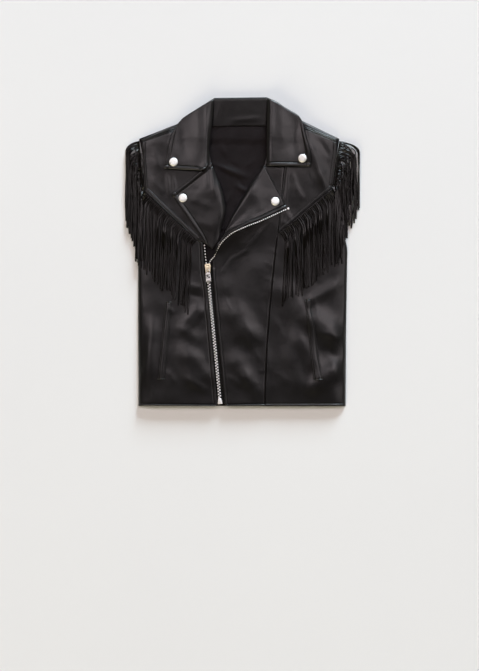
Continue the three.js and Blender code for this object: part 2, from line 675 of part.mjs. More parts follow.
// End box of the zip at the hem.
const endY = -297.6;
placed('zip_end_box', raisedShape(outline(7.6, 8.4, 6, -6, 1), 3.4, 0),
  { x: along(zipCentre, 'y', endY, 'x'), y: endY, z: zipTop(-45, endY) - 0.5, turn: slider.turn * 1.8 });

// Snaps: domed caps seated on the corners of the collar and the lapels.
const snapRadius = 8.4;
const snapProfile = [[0, 0], [7.9, 0], [snapRadius, 0.6], [8.1, 1.2], [6.4, 2.1], [3.4, 2.6], [0, 2.75]];
const snaps = [
  { name: 'snap_collar_left', x: -137.8, y: 177.6, seat: 'collar_left' },
  { name: 'snap_lapel_left', x: -119.4, y: 106.4, seat: 'lapel_left' },
  { name: 'snap_lapel_right', x: 64.4, y: 99.6, seat: 'lapel_right' },
  { name: 'snap_collar_right', x: 118.4, y: 185, seat: 'collar_right' },
];
for (const { name, x, y, seat } of snaps) {
  const heightAt = (dx, dy) => seatUnder([seat], x + dx, y + dy);
  const slopeX = (heightAt(snapRadius, 0) - heightAt(-snapRadius, 0)) / (2 * snapRadius);
  const slopeY = (heightAt(0, snapRadius) - heightAt(0, -snapRadius)) / (2 * snapRadius);
  const ring = steps(0, 2 * Math.PI, 16).map((a) => [snapRadius * Math.cos(a), snapRadius * Math.sin(a)]);
  const clear = Math.max(...[[0, 0], ...ring].map(([dx, dy]) => heightAt(dx, dy) - slopeX * dx - slopeY * dy));
  const cap = new THREE.LatheGeometry(snapProfile.map(([r, z]) => new THREE.Vector2(r, z)), 16);
  const tilt = new THREE.Quaternion().setFromUnitVectors(new THREE.Vector3(0, 1, 0),
    new THREE.Vector3(-slopeX, -slopeY, 1).normalize());
  cap.applyQuaternion(tilt).translate(x, y, clear + gap);
  addPiece(name, cap, 'nickel');
}

// Fringe: flat strands cut side by side from one strip. They leave the strip square to it, turn down
// and hang over each other in layers, so that each stands apart from the rest.
const strand = { width: 2.6, thick: 1, layer: 1.2, clear: 0.5, half: 1.4, armholeTurn: [32, 60, 90] };
const backing = { width: 3.2, thick: 1.5, rootDrop: 0.35 };
const scatter = (i) => (Math.sin(i * 12.9898) * 43758.5453) % 1; // uneven, between -1 and 1

function strandPath(seatAt, root, points, layer) {
  return points.map(([x, y], i) => {
    const bed = Math.max(...[-strand.half, 0, strand.half].map((dx) => seatAt(x + dx, y)));
    const z = i === 0 ? root : bed + strand.clear + strand.thick + layer * strand.layer;
    return new THREE.Vector3(x, y, z);
  });
}

function fringe(name, { from, to, out, count, layers, seatAt, bendOf, endOf, stripTop }) {
  const geometries = [];
  const rootLine = (t) => [0, 1].map((axis) => THREE.MathUtils.lerp(from[axis], to[axis], t));
  const stripPath = shares(8).map((t) => {
    const [x, y] = rootLine(t);
    return new THREE.Vector3(x + out[0] * backing.width / 2, y + out[1] * backing.width / 2, stripTop(x, y));
  });
  geometries.push(ribbon(stripPath, backing.width, backing.thick));
  for (let i = 0; i < count; i += 1) {
    const t = (i + 0.5) / count;
    const [x, y] = rootLine(t);
    const start = [x + out[0] * 0.75 * backing.width, y + out[1] * 0.75 * backing.width];
    const root = stripTop(x, y) - backing.rootDrop;
    const bend = bendOf(x, y, t);
    const path = strandPath(seatAt, root, [start, ...bend, ...endOf(bend.at(-1), t, i)], i % layers);
    geometries.push(strandAlong(path, strand.width, strand.thick));
  }
  addPiece(name, joined(geometries), 'fringe');
}

const yokeLength = 150;
const yokeFringes = {
  fringe_yoke_left: { from: [-194.6, 118.8], to: [-92.6, 22], out: [-0.69, -0.72], seat: 'front_left' },
  fringe_yoke_right: { from: [73.6, 37], to: [177.6, 124.6], out: [0.645, -0.765], seat: 'front_right_side' },
};
for (const [name, { from, to, out, seat }] of Object.entries(yokeFringes)) {
  const seatAt = (x, y) => seatUnder([seat], x, y, frontTop(x, y));
  const overStrip = (x, y) => steps(0, backing.width, 4).map((d) => seatAt(x + out[0] * d, y + out[1] * d));
  fringe(name, {
    from,
    to,
    out,
    seatAt,
    count: 36,
    layers: 3,
    stripTop: (x, y) => Math.max(...overStrip(x, y)) + backing.thick + 0.5,
    bendOf: (x, y) => [[x + out[0] * 8, y + out[1] * 8], [x + out[0] * 11.5, y + out[1] * 8 - 12]],
    endOf: ([x, y], t, i) => [0.45, 1].map((share) => [x + 1.1 * scatter(i) * share,
      y - share * (yokeLength - 26 + 8 * scatter(i + 50))]),
  });
}

const armholeFringes = {
  fringe_armhole_left: { from: [-206.4, 220], to: [-198, 128], sign: -1, tips: [-233.4, -206.2], ends: [62, -28] },
  fringe_armhole_right: { from: [192.6, 220], to: [181, 134], sign: 1, tips: [233.4, 188.2], ends: [98, -20] },
};
const bodyEdge = 211.5; // past this a strand lies on the ground
for (const [name, { from, to, sign, tips, ends }] of Object.entries(armholeFringes)) {
  fringe(name, {
    from,
    to,
    out: [sign, 0],
    seatAt: (x) => (Math.abs(x) < bodyEdge ? Math.max(armholeTop, frontTop(x, -20)) + 1.2 : 0),
    count: 26,
    layers: 4,
    stripTop: (x, y) => frontTop(x - sign * 3, y) + 0.2,
    bendOf: (x, y, t) => {
      const tip = THREE.MathUtils.lerp(tips[0], tips[1], t);
      const drop = THREE.MathUtils.lerp(30, 22, t);
      return strand.armholeTurn.map((degrees) => {
        const turn = THREE.MathUtils.degToRad(degrees);
        return [THREE.MathUtils.lerp(x, tip, Math.sin(turn)), y - drop * (1 - Math.cos(turn))];
      });
    },
    endOf: ([x, y], t, i) => {
      const end = THREE.MathUtils.lerp(ends[0], ends[1], t) + 9 * scatter(i);
      return [[x, end]];
    },
  });
}

export default group;
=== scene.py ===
# Biker vest in smooth black faux leather with cut fringe, lying on its back on a pale floor.
# Sizes in the tables are millimetres: +X right, +Y towards the collar, +Z up, and left and right
# are those seen from above. The meshes themselves are made in metres.
import math
import bmesh
import bpy
import numpy as np
from mathutils import Matrix, Vector
from mathutils.bvhtree import BVHTree


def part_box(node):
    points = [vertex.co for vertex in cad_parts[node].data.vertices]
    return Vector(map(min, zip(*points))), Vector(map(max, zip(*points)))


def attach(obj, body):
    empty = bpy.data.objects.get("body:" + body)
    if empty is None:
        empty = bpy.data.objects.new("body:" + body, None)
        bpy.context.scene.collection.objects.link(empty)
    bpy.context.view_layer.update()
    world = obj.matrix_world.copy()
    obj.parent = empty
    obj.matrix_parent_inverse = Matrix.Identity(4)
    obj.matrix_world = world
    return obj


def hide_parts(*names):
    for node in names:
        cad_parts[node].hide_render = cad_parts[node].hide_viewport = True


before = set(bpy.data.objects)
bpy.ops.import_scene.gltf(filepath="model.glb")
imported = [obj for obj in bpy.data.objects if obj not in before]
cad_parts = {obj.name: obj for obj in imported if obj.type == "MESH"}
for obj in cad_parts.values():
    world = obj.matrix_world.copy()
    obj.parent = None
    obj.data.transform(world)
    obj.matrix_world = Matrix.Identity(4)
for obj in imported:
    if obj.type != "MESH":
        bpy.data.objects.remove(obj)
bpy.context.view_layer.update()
print("frame loaded:", len(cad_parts), "solids")

mm = 0.001
gap = 0.3  # between neighbouring pieces
walls = {"back": 1.4, "front": 1.6, "lining": 0.8, "lapel": 2.0, "collar": 2.2, "strip": 1.0, "welt": 1.5,
         "tape": 0.8}


def toLinear(hexColour):
    parts = [int(hexColour[i:i + 2], 16) / 255 for i in (1, 3, 5)]
    return [c / 12.92 if c <= 0.04045 else ((c + 0.055) / 1.055) ** 2.4 for c in parts] + [1.0]


def newObject(name, data):
    made = bpy.data.objects.new(name, data)
    bpy.context.scene.collection.objects.link(made)
    return made


def addNode(tree, kind, inputs=None, **settings):
    node = tree.nodes.new(kind)
    for key, value in settings.items():
        setattr(node, key, value)
    for key, value in (inputs or {}).items():
        if isinstance(value, bpy.types.NodeSocket):
            tree.links.new(value, node.inputs[key])
        else:
            node.inputs[key].default_value = value
    return node


def newMaterial(name):
    material = bpy.data.materials.new(name)
    material.use_nodes = True
    tree = material.node_tree
    tree.nodes.clear()
    place = addNode(tree, "ShaderNodeTexCoord").outputs["Object"]
    return material, tree, place


def finishMaterial(material, tree, shaderInputs, colour):
    shader = addNode(tree, "ShaderNodeBsdfPrincipled", shaderInputs)
    addNode(tree, "ShaderNodeOutputMaterial", {"Surface": shader.outputs[0]})
    material.diffuse_color = toLinear(colour)
    return material


def repeats(size):
    # The scale of a pattern whose features are this many millimetres wide.
    return 1 / (size * mm)


waveBands = 3.2  # bands of the wave texture in one unit at scale 1


def coatedLeather(name, values):
    # Polyurethane coat on a knit: a satin skin that gives broad soft lights, with a fine embossed
    # pebble and slack places a hand wide that break the lights up.
    material, tree, place = newMaterial(name)
    slack = addNode(tree, "ShaderNodeTexNoise", {
        "Vector": place, "Scale": repeats(values["slack"]), "Detail": 2.0, "Roughness": 0.45})
    wrinkle = addNode(tree, "ShaderNodeTexNoise", {
        "Vector": place, "Scale": repeats(values["wrinkle"]), "Detail": 3.0, "Roughness": 0.5, "Distortion": 0.6})
    pebble = addNode(tree, "ShaderNodeTexVoronoi", {
        "Vector": place, "Scale": repeats(values["pebble"])}, feature="F1")
    tone = addNode(tree, "ShaderNodeMixRGB", {
        0: slack.outputs["Fac"], 1: toLinear(values["dark"]), 2: toLinear(values["light"])})
    gloss = addNode(tree, "ShaderNodeMapRange", {
        "Value": wrinkle.outputs["Fac"], "To Min": values["rough"] - 0.05, "To Max": values["rough"] + 0.05})
    relief = {}
    for height, deep, strength in ((slack.outputs["Fac"], values["slackDeep"], 1.0),
                                   (wrinkle.outputs["Fac"], values["wrinkleDeep"], 1.0),
                                   (pebble.outputs["Distance"], values["pebbleDeep"], 0.5)):
        bump = addNode(tree, "ShaderNodeBump", {
            "Height": height, "Distance": deep * mm, "Strength": strength, **relief})
        relief = {"Normal": bump.outputs[0]}
    return finishMaterial(material, tree, {
        "Base Color": tone.outputs[0], "Roughness": gloss.outputs[0], "IOR": 1.5,
        "Specular IOR Level": values["shine"], **relief}, values["dark"])


leather = coatedLeather("satinFauxLeather", {
    "dark": "#0b090a", "light": "#0f0d0e", "shine": 0.5, "rough": 0.35, "slack": 46, "slackDeep": 1.15,
    "wrinkle": 14, "wrinkleDeep": 0.12, "pebble": 0.9, "pebbleDeep": 0.05})  # pebble drawn a little coarse
fringeLeather = coatedLeather("cutFringeFauxLeather", {
    "dark": "#030202", "light": "#0c0806", "shine": 0.33, "rough": 0.24, "slack": 40, "slackDeep": 0.5,
    "wrinkle": 12, "wrinkleDeep": 0.05, "pebble": 0.9, "pebbleDeep": 0.05})


def wovenCloth(name, values):
    # Fine threads at right angles; the sheen of the filaments lies over a dark ground.
    material, tree, place = newMaterial(name)
    turned = addNode(tree, "ShaderNodeMapping", {"Vector": place, "Rotation": (0, 0, math.radians(values["turn"]))})
    warp, weft = [addNode(tree, "ShaderNodeTexWave", {
        "Vector": turned.outputs[0], "Scale": repeats(values["thread"] * waveBands)},
        bands_direction=axis) for axis in "XY"]
    weave = addNode(tree, "ShaderNodeMath", {0: warp.outputs["Fac"], 1: weft.outputs["Fac"]}, operation="MULTIPLY")
    slack = addNode(tree, "ShaderNodeTexNoise", {"Vector": place, "Scale": repeats(values["slack"]), "Detail": 2.0})
    tone = addNode(tree, "ShaderNodeMixRGB", {
        0: slack.outputs["Fac"], 1: toLinear(values["dark"]), 2: toLinear(values["light"])})
    loose = addNode(tree, "ShaderNodeBump", {
        "Height": slack.outputs["Fac"], "Distance": values["slackDeep"] * mm, "Strength": 1.0})
    relief = addNode(tree, "ShaderNodeBump", {
        "Height": weave.outputs[0], "Distance": 0.06 * mm, "Strength": 0.6, "Normal": loose.outputs[0]})
    return finishMaterial(material, tree, {
        "Base Color": tone.outputs[0], "Roughness": values["rough"], "Specular IOR Level": values["shine"],
        "Sheen Weight": values["sheen"], "Sheen Roughness": 0.4, "Normal": relief.outputs[0]}, values["dark"])


lining = wovenCloth("polyesterSatinLining", {
    "dark": "#0f0a0c", "light": "#150f11", "rough": 0.5, "shine": 0.15, "thread": 0.6, "turn": 20, "slack": 26,
    "slackDeep": 0.9, "sheen": 0.01})
tape = wovenCloth("wovenZipTape", {
    "dark": "#0c0b0b", "light": "#121011", "rough": 0.85, "shine": 0.2, "thread": 0.8, "turn": 45, "slack": 12,
    "slackDeep": 0.2, "sheen": 0.02})


def platedMetal(name, values):
    # Die-cast zinc, plated: bright and slightly hazy, with handling marks only a close look shows.
    material, tree, place = newMaterial(name)
    stretched = addNode(tree, "ShaderNodeMapping", {"Vector": place, "Scale": values["stretch"]})
    marks = addNode(tree, "ShaderNodeTexNoise", {
        "Vector": stretched.outputs[0], "Scale": repeats(values["mark"]), "Detail": 4.0})
    haze = addNode(tree, "ShaderNodeMapRange", {
        "Value": marks.outputs["Fac"], "To Min": values["rough"] - 0.06, "To Max": values["rough"] + 0.08})
    tone = addNode(tree, "ShaderNodeMixRGB", {
        0: marks.outputs["Fac"], 1: toLinear(values["dark"]), 2: toLinear(values["light"])})
    relief = addNode(tree, "ShaderNodeBump", {
        "Height": marks.outputs["Fac"], "Distance": 0.04 * mm, "Strength": 0.4})
    return finishMaterial(material, tree, {
        "Base Color": tone.outputs[0], "Metallic": 1.0, "Roughness": haze.outputs[0],
        "Normal": relief.outputs[0]}, values["light"])


teethMetal = platedMetal("nickelPlatedTeeth", {
    "dark": "#f1eeee", "light": "#fdfbfb", "rough": 0.62, "mark": 0.8, "stretch": (1, 1, 1)})
sliderMetal = platedMetal("paleGoldPlatedSlider", {
    "dark": "#dcc8a2", "light": "#f6ecd6", "rough": 0.42, "mark": 1.5, "stretch": (1, 0.3, 1)})
pullMetal = platedMetal("brushedNickelPull", {
    "dark": "#c4c2c0", "light": "#e4e2df", "rough": 0.42, "mark": 0.5, "stretch": (1, 0.08, 1)})
snapMetal = platedMetal("satinNickelCap", {
    "dark": "#f2f1ef", "light": "#fdfcfa", "rough": 0.55, "mark": 2.0, "stretch": (1, 1, 1)})


def threadMaterial(ply=0.5):
    # Bonded polyester thread: two plies, each with a thin line of light painted into its colour as a painted
    # highlight.
    material, tree, place = newMaterial("bondedThread")
    plies = addNode(tree, "ShaderNodeTexWave", {
        "Vector": place, "Scale": repeats(ply * waveBands)}, bands_direction="DIAGONAL")
    relief = addNode(tree, "ShaderNodeBump", {
        "Height": plies.outputs["Fac"], "Distance": 0.08 * mm, "Strength": 0.6})
    # Painted highlight: the colour is lighter along each ply band, with painted shade between the plies.
    tone = addNode(tree, "ShaderNodeMixRGB", {
        0: plies.outputs["Fac"], 1: toLinear("#161414"), 2: toLinear("#2b2828")})
    return finishMaterial(material, tree, {
        "Base Color": tone.outputs[0], "Roughness": 0.55, "Normal": relief.outputs[0]}, "#1c1a1a")


thread = threadMaterial()
print("materials made")


sideOutline = np.array([  # y, left x, right x
    (-308, -208.4, 205.5), (-150, -209, 206.5), (-20, -209, 208.5), (10, -208.4, 208), (66, -202, 193),
    (126, -197.2, 180), (158, -198.4, 183), (196, -201, 188.4), (226, -207, 193)])
shoulderLine = np.array([  # x, y
    (-207, 223), (-128, 257), (-62, 277), (58, 281), (117, 263), (194, 226)])
body = {
    "hemY": -308, "hollowTop": 10.4, "sideReach": 32, "shoulderReach": 26, "neckReach": 150, "rim": 6,
    "seamTop": 3.3, "armholeTop": 7.2, "collarLift": 1.7, "underarmY": 14,
    "wave": 0.7, "chest": 0.9, "waist": 3.0, "slack": 0.3, "flatRim": 24}
collarReach = {  # from where to where the collar's lift fades in, then out
    "backLeft": (-165, -142), "backRight": (132, 156), "backUp": (212, 228),
    "frontLeft": (-152, -126), "frontRight": (106, 132)}

# Ridges, or troughs where the rise is below zero: from x, from y, to x, to y, spread, rise.
largeFolds = [
    (-28, -108, 22, -178, 23, 4.2), (-20, -205, 18, -262, 20, 3.2), (-64, 2, 30, 72, 12, 3.2),
    (-42, -48, 60, 30, 30, -2.4), (118, -122, 192, -174, 24, 6.4), (196, -226, 134, -276, 19, 6.2),
    (88, -190, 118, -282, 18, 2.8), (-178, -136, -190, -262, 13, 3.8), (-112, -142, -84, -108, 12, 2.8),
    (-118, -186, -92, -272, 18, 3.8), (124, 236, 168, 120, 13, 3.6),
    (100, -158, 152, -240, 19, 3.6), (66, -64, 112, -128, 17, 2.6), (-122, -146, -90, -180, 13, 2.2),
    (-98, -200, -64, -256, 14, 2.6), (-2, -238, 38, -288, 14, 2.2)]
smallFolds = [
    (-2, -140, 30, -178, 9, 0.7), (44, -20, 62, -32, 4, 0.4),
    (46, -52, 62, -60, 4, 0.4), (52, 6, 72, -6, 4, 0.4), (36, -240, 56, -228, 5, 0.5),
    (-40, -42, -20, -12, 3.2, 0.8), (-24, -16, 12, 4, 3.6, 0.7), (6, 2, 46, 52, 3.6, 0.7),
    (10, -170, 34, -216, 8, 0.9), (-26, -248, -4, -268, 6, 0.8),
    (-40, -60, -30, -112, 7, 0.8), (-34, -84, -12, -118, 6, -0.8), (62, -132, 84, -178, 8, 0.9),
    (96, -60, 118, -118, 9, 1.0), (140, -88, 150, -132, 5, 0.8), (130, -112, 146, -122, 6, -0.7),
    (121, -104, 204, -58, 12, 2.6), (152, -160, 200, -173, 7, 1.0), (166, -190, 186, -214, 8, -0.9),
    (-201, -266, -189, -196, 6, 0.9), (-202, -60, -196, -170, 9, 0.8), (-147, -110, -139, -124, 5, 0.8),
    (-110, -66, -84, -73, 7, 1.1), (-108, -84, -80, -92, 6, -0.9), (-104, -152, -77, -116, 5, 0.9),
    (-112, -253, -70, -279, 8, 1.0), (-150, -238, -134, -262, 6, 0.9), (-128, -130, -112, -170, 9, 0.9),
    (-96, -196, -74, -160, 7, 0.7), (48, -188, 54, -262, 6, 0.7), (60, -236, 92, -262, 9, 0.8),
    (-150, 150, -146, 112, 3.6, 1.1), (-139, 152, -133, 108, 3.6, 0.9), (-176, 204, -168, 166, 9, 1.0),
    (-184, 150, -160, 118, 7, 0.8), (-166, 232, -120, 214, 8, -0.6), (104, 130, 120, 104, 6, 0.9),
    (97, 158, 108, 126, 5, 0.8), (76, 60, 82, 168, 2.6, 0.9), (84, 66, 91, 170, 2.6, 0.9),
    (134, 214, 162, 128, 4, 0.9), (152, 222, 172, 190, 6, -0.8), (84, 84, 98, 60, 4, 0.7), (74, 62, 96, 50, 4, 0.6)]


def eased(start, end, value):
    t = np.clip((np.asarray(value, float) - start) / (end - start), 0, 1)
    return t * t * (3 - 2 * t)


def rounded(distance, width):
    t = np.clip(np.asarray(distance, float) / width, 0, 1)
    return 1 - (1 - t) ** 2


def foldSum(folds, x, y):
    total = np.zeros(np.shape(x))
    for fromX, fromY, toX, toY, spread, rise in folds:
        runX, runY = toX - fromX, toY - fromY
        long = math.hypot(runX, runY)
        share = ((x - fromX) * runX + (y - fromY) * runY) / long ** 2
        across = ((x - fromX) * runY - (y - fromY) * runX) / long
        ends = eased(-0.25, 0.3, share) * (1 - eased(0.7, 1.25, share))
        total += rise * np.exp(-(across / spread) ** 2) * ends
    return total


def ripple(x, y, size, seed):
    # Slack in the cloth, a few long waves that never repeat in step.
    total = np.zeros(np.shape(x))
    for i, angle in enumerate(np.random.default_rng(seed).uniform(0, math.tau, 5)):
        wave = 34 + 13 * i
        total += np.sin((x * math.cos(angle) + y * math.sin(angle)) * math.tau / wave + 5.1 * i)
    return total * size / 2.5


def backRise(x, y):
    # The collar's inner layers lift the back below its ends.
    up = body["collarLift"] * eased(*collarReach["backUp"], y)
    return up * eased(*collarReach["backLeft"], x) * (1 - eased(*collarReach["backRight"], x))


def frontTop(x, y):
    # Outer face of the fronts: low at the seams, up over the hollow body, with the folds on top.
    x, y = np.asarray(x, float), np.asarray(y, float)
    left, right = (np.interp(y, sideOutline[:, 0], sideOutline[:, column]) for column in (1, 2))
    fromSide = np.minimum(x - left, right - x)
    fromShoulder = np.interp(x, shoulderLine[:, 0], shoulderLine[:, 1]) - y
    share = eased(body["underarmY"] - 16, body["underarmY"] + 46, y)
    edge = body["seamTop"] + (body["armholeTop"] - body["seamTop"]) * share
    swell = (body["wave"] * np.sin(x / 46 + 1.2) * np.cos(y / 71) + body["chest"] * eased(-40, 60, y)
             + body["waist"] * eased(-60, -290, y))
    creased = foldSum(largeFolds, x, y) + foldSum(smallFolds, x, y) + ripple(x, y, body["slack"], 3)
    creased = creased * rounded(fromSide, body["flatRim"])
    fromEdge = 0.4 * rounded(fromSide, body["rim"]) + 0.6 * rounded(fromSide, body["sideReach"])
    opened = edge + (body["hollowTop"] + swell - edge) * fromEdge + creased
    low = body["seamTop"] + backRise(x, y)
    outside = 0.75 * rounded(fromShoulder, body["rim"]) + 0.25 * rounded(fromShoulder, body["shoulderReach"])
    underCollar = eased(*collarReach["frontLeft"], x) * (1 - eased(*collarReach["frontRight"], x))
    return low + (opened - low) * (outside + (rounded(fromShoulder, body["neckReach"]) - outside) * underCollar)


def backTop(x, y):
    return walls["back"] + backRise(x, y)


def softened(rows, steps=8):
    # A smooth line through the rows of a table.
    p = np.array(rows, float)
    p = np.vstack([2 * p[0] - p[1], p, 2 * p[-1] - p[-2]])
    line = []
    for i in range(1, len(p) - 2):
        for t in np.arange(steps) / steps:
            a, b = (p[i + 1] - p[i - 1]) / 2, (p[i + 2] - p[i]) / 2
            long = np.linalg.norm(p[i + 1] - p[i])
            a *= min(1, long / max(np.linalg.norm(a), 1e-6))
            b *= min(1, long / max(np.linalg.norm(b), 1e-6))
            line.append((2 * t ** 3 - 3 * t ** 2 + 1) * p[i] + (t ** 3 - 2 * t ** 2 + t) * a
                        + (3 * t ** 2 - 2 * t ** 3) * p[i + 1] + (t ** 3 - t ** 2) * b)
    return np.vstack([line, p[-2]])


def cutEdge(rows):
    points = np.array(rows, float)
    run = np.concatenate([[0], np.cumsum(np.linalg.norm(np.diff(points, axis=0), axis=1))])

    def at(share):
        far = np.clip(share, 0, 1) * run[-1]
        return np.stack([np.interp(far, run, points[:, 0]), np.interp(far, run, points[:, 1])], axis=-1)
    return at


def betweenEdges(edges, u, v):
    bottom, top, left, right = (edges[key] for key in ("bottom", "top", "left", "right"))
    u1, v1 = u[..., None], v[..., None]
    point = bottom(u) * (1 - v1) + top(u) * v1 + left(v) * (1 - u1) + right(v) * u1
    corners = [(bottom(np.float64(0)), (1 - u1) * (1 - v1)), (bottom(np.float64(1)), u1 * (1 - v1)),
               (top(np.float64(0)), (1 - u1) * v1), (top(np.float64(1)), u1 * v1)]
    for corner, weight in corners:
        point = point - corner * weight
    return point


sewing = {
    "grooveDeep": 0.65, "grooveWide": 0.9, "puff": 0.4, "turn": 1.4, "drop": 0.7, "spacing": 2.4, "stitchLift": 0.12}
surfaces, trees, stitchRuns = {}, {}, []


def nearLines(offset):
    # Lines of the mesh close to an edge, with more of them beside a stitch line.
    lines = [0, 0.35, 0.8, 1.5, 2.4]
    if offset:
        lines = [line for line in lines if line < offset - 1.6]
        lines += [offset - 1.3, offset - 0.6, offset, offset + 0.6, offset + 1.3, offset + 2.6]
    return np.array(lines, float)


def shareLines(lengths, first, last, count):
    inner = np.linspace(0, 1, count + 1)[1:-1]
    rows = []
    for long in lengths:
        fit = min(1, 0.96 * long / (first[-1] + last[-1] + 1e-6))
        a, b = first * fit / long, last * fit / long
        rows.append(np.concatenate([a, a[-1] + (1 - b[-1] - a[-1]) * inner, 1 - b[::-1]]))
    return np.array(rows)


def gridQuads(rows, columns):
    at = np.arange(rows * columns).reshape(rows, columns)
    return np.stack([at[:-1, :-1], at[:-1, 1:], at[1:, 1:], at[1:, :-1]], -1).reshape(-1, 4)


def shellMesh(name, outer, inner, outerMaterial, innerMaterial):
    rows, columns = outer.shape[:2]
    count = rows * columns
    at = np.arange(count).reshape(rows, columns)
    ring = np.concatenate([at[0, :], at[1:, -1], at[-1, -2::-1], at[-2:0:-1, 0]])
    following = np.roll(ring, -1)
    quads = [gridQuads(rows, columns), gridQuads(rows, columns)[:, [0, 3, 2, 1]] + count,
             np.stack([ring, ring + count, following + count, following], -1)]
    mesh = bpy.data.meshes.new(name)
    points = np.concatenate([outer.reshape(-1, 3), inner.reshape(-1, 3)]) * mm
    mesh.from_pydata(points.tolist(), [], np.concatenate(quads).tolist())
    mesh.materials.append(outerMaterial)
    mesh.materials.append(innerMaterial)
    index = np.concatenate([np.zeros(len(quads[0])), np.ones(len(quads[1])), np.zeros(len(quads[2]))])
    mesh.polygons.foreach_set("material_index", index.astype(np.int32))
    mesh.shade_smooth()
    mesh.set_sharp_from_angle(angle=math.radians(60))
    mesh.update()
    return mesh


def addPiece(name, mesh, rides="vest", hasNode=True):
    first, *rest = name.split("_")
    piece = newObject(first + "".join(word.title() for word in rest), mesh)
    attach(piece, rides)
    if hasNode:
        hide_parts(name)
    return piece


def unitNormals(grid):
    normal = np.cross(np.gradient(grid, axis=1), np.gradient(grid, axis=0))
    return normal / np.maximum(np.linalg.norm(normal, axis=-1, keepdims=True), 1e-9)


def stitchLine(raised, far, key, seams):
    # The mesh line that runs at the stitch distance from an edge, cut off where it meets the next one.
    line, low, high = seams[key]
    index = int(np.argmin(np.abs(nearLines(line) - line)))
    picks = {"left": np.s_[:, index], "right": np.s_[:, -1 - index],
             "bottom": np.s_[index, :], "top": np.s_[-1 - index, :]}
    pick = picks[key]
    keep = (raised[pick][:, 1] >= low) & (raised[pick][:, 1] <= high)
    for other in far:
        if other != key:
            keep &= far[other][pick] >= (seams[other][0] - 0.2 if other in seams else 1.2)
    run = raised[pick][keep]
    if len(run) > 2:
        stitchRuns.append(run + np.array([0, 0, sewing["stitchLift"]]))


sheetLimits = {"width": 10.5, "share": 0.301}  # sheetLimits = {"width": 10.5, "share": 0.301} # the least width, and the least share of the box, that each piece's area is held to


def cutPiece(name, rows, height, wall, seams=None, restsOn=(), outer=leather, inner=lining, slot="leather",
             spacing=sewing["spacing"], drop=sewing["drop"], puff=sewing["puff"]):
    # One piece of cloth between four cut edges, its seams grooved and its edges turned, with a wall.
    edges = {key: cutEdge(rows[key]) for key in ("bottom", "top", "left", "right")}
    seams = {key: value if isinstance(value, tuple) else (value, -400, 400) for key, value in (seams or {}).items()}
    near = {key: nearLines(seams[key][0] if key in seams else None) for key in edges}
    base = np.linspace(0, 1, 200)
    widths = np.linalg.norm(edges["right"](base) - edges["left"](base), axis=1)
    heights = np.linalg.norm(edges["top"](base) - edges["bottom"](base), axis=1)
    across = max(int((np.mean(widths) - near["left"][-1] - near["right"][-1]) / spacing), 3)
    up = max(int((np.mean(heights) - near["bottom"][-1] - near["top"][-1]) / spacing), 3)
    plainU = shareLines([np.mean(widths)], near["left"], near["right"], across)[0]
    plainV = shareLines([np.mean(heights)], near["bottom"], near["top"], up)[0]
    span, rise = np.interp(plainV, base, widths), np.interp(plainU, base, heights)
    u = shareLines(span, near["left"], near["right"], across)
    v = shareLines(rise, near["bottom"], near["top"], up).T
    flat = betweenEdges(edges, u, v)
    x, y = flat[..., 0], flat[..., 1]
    far = {"left": u * span[:, None], "right": (1 - u) * span[:, None],
           "bottom": v * rise[None, :], "top": (1 - v) * rise[None, :]}
    smooth = np.stack([x, y, height(x, y, u, v)], axis=-1)
    top = smooth[..., 2] - drop * (1 - rounded(np.minimum.reduce(list(far.values())), sewing["turn"]))
    for key, (line, low, high) in seams.items():
        within = eased(low - 2, low + 2, y) * (1 - eased(high - 2, high + 2, y))
        top = top + within * puff * np.sin(math.pi * np.clip(far[key] / line, 0, 1)) ** 0.7
        top = top - within * sewing["grooveDeep"] * np.exp(-((far[key] - line) / sewing["grooveWide"]) ** 2)
    raised = np.stack([x, y, top], axis=-1)
    mesh = shellMesh(name, raised, smooth - unitNormals(smooth) * wall, outer, inner)
    piece = addPiece(name, mesh)
    surfaces[name] = raised
    for key in seams:
        stitchLine(raised, far, key, seams)
    cells = np.cross(np.diff(smooth, axis=1)[:-1], np.diff(smooth, axis=0)[:, :-1])
    size = (max(float(np.max(widths)), sheetLimits["width"]), float(np.max(heights)))
    least, most = sheetLimits["share"] * size[0] * size[1], size[0] * size[1]
    area = min(max(float(np.linalg.norm(cells, axis=-1).sum()), least), most)
    list(restsOn)


def seatOn(names, x, y, least=0.0):
    # Height of the highest of the named pieces under each point.
    result = np.array(np.broadcast_to(np.asarray(least, float), np.shape(x)), float)
    for name in names:
        if name not in trees:
            grid = surfaces[name]
            quads = gridQuads(*grid.shape[:2])
            trees[name] = BVHTree.FromPolygons(grid.reshape(-1, 3).tolist(), quads.tolist())
        for index in np.ndindex(np.shape(x)):
            hit = trees[name].ray_cast(Vector((x[index], y[index], 100)), Vector((0, 0, -1)))[0]
            if hit is not None:
                result[index] = max(result[index], hit.z)
    return result


def settled(bed, rounds):
    # Cloth laid over a bed: it bridges the hollows and touches the high places.
    height = bed.copy()
    for _ in range(rounds):
        pad = np.pad(height, 1, mode="edge")
        height = np.maximum(bed, (pad[:-2, 1:-1] + pad[2:, 1:-1] + pad[1:-1, :-2] + pad[1:-1, 2:]) / 4)
    return height


def shifted(rows, dx, dy):
    return [(x + dx, y + dy) for x, y in rows]


def sideEdge(column, topY):
    rows = [(row[column], row[0]) for row in sideOutline if row[0] < topY]
    return softened(rows + [(float(np.interp(topY, sideOutline[:, 0], sideOutline[:, column])), topY)])


def rowsBetween(leftRows, rightRows):
    # The four edges of a piece that is cut straight across at both ends.
    return {"bottom": [leftRows[0], rightRows[0]], "top": [leftRows[-1], rightRows[-1]],
            "left": leftRows, "right": rightRows}


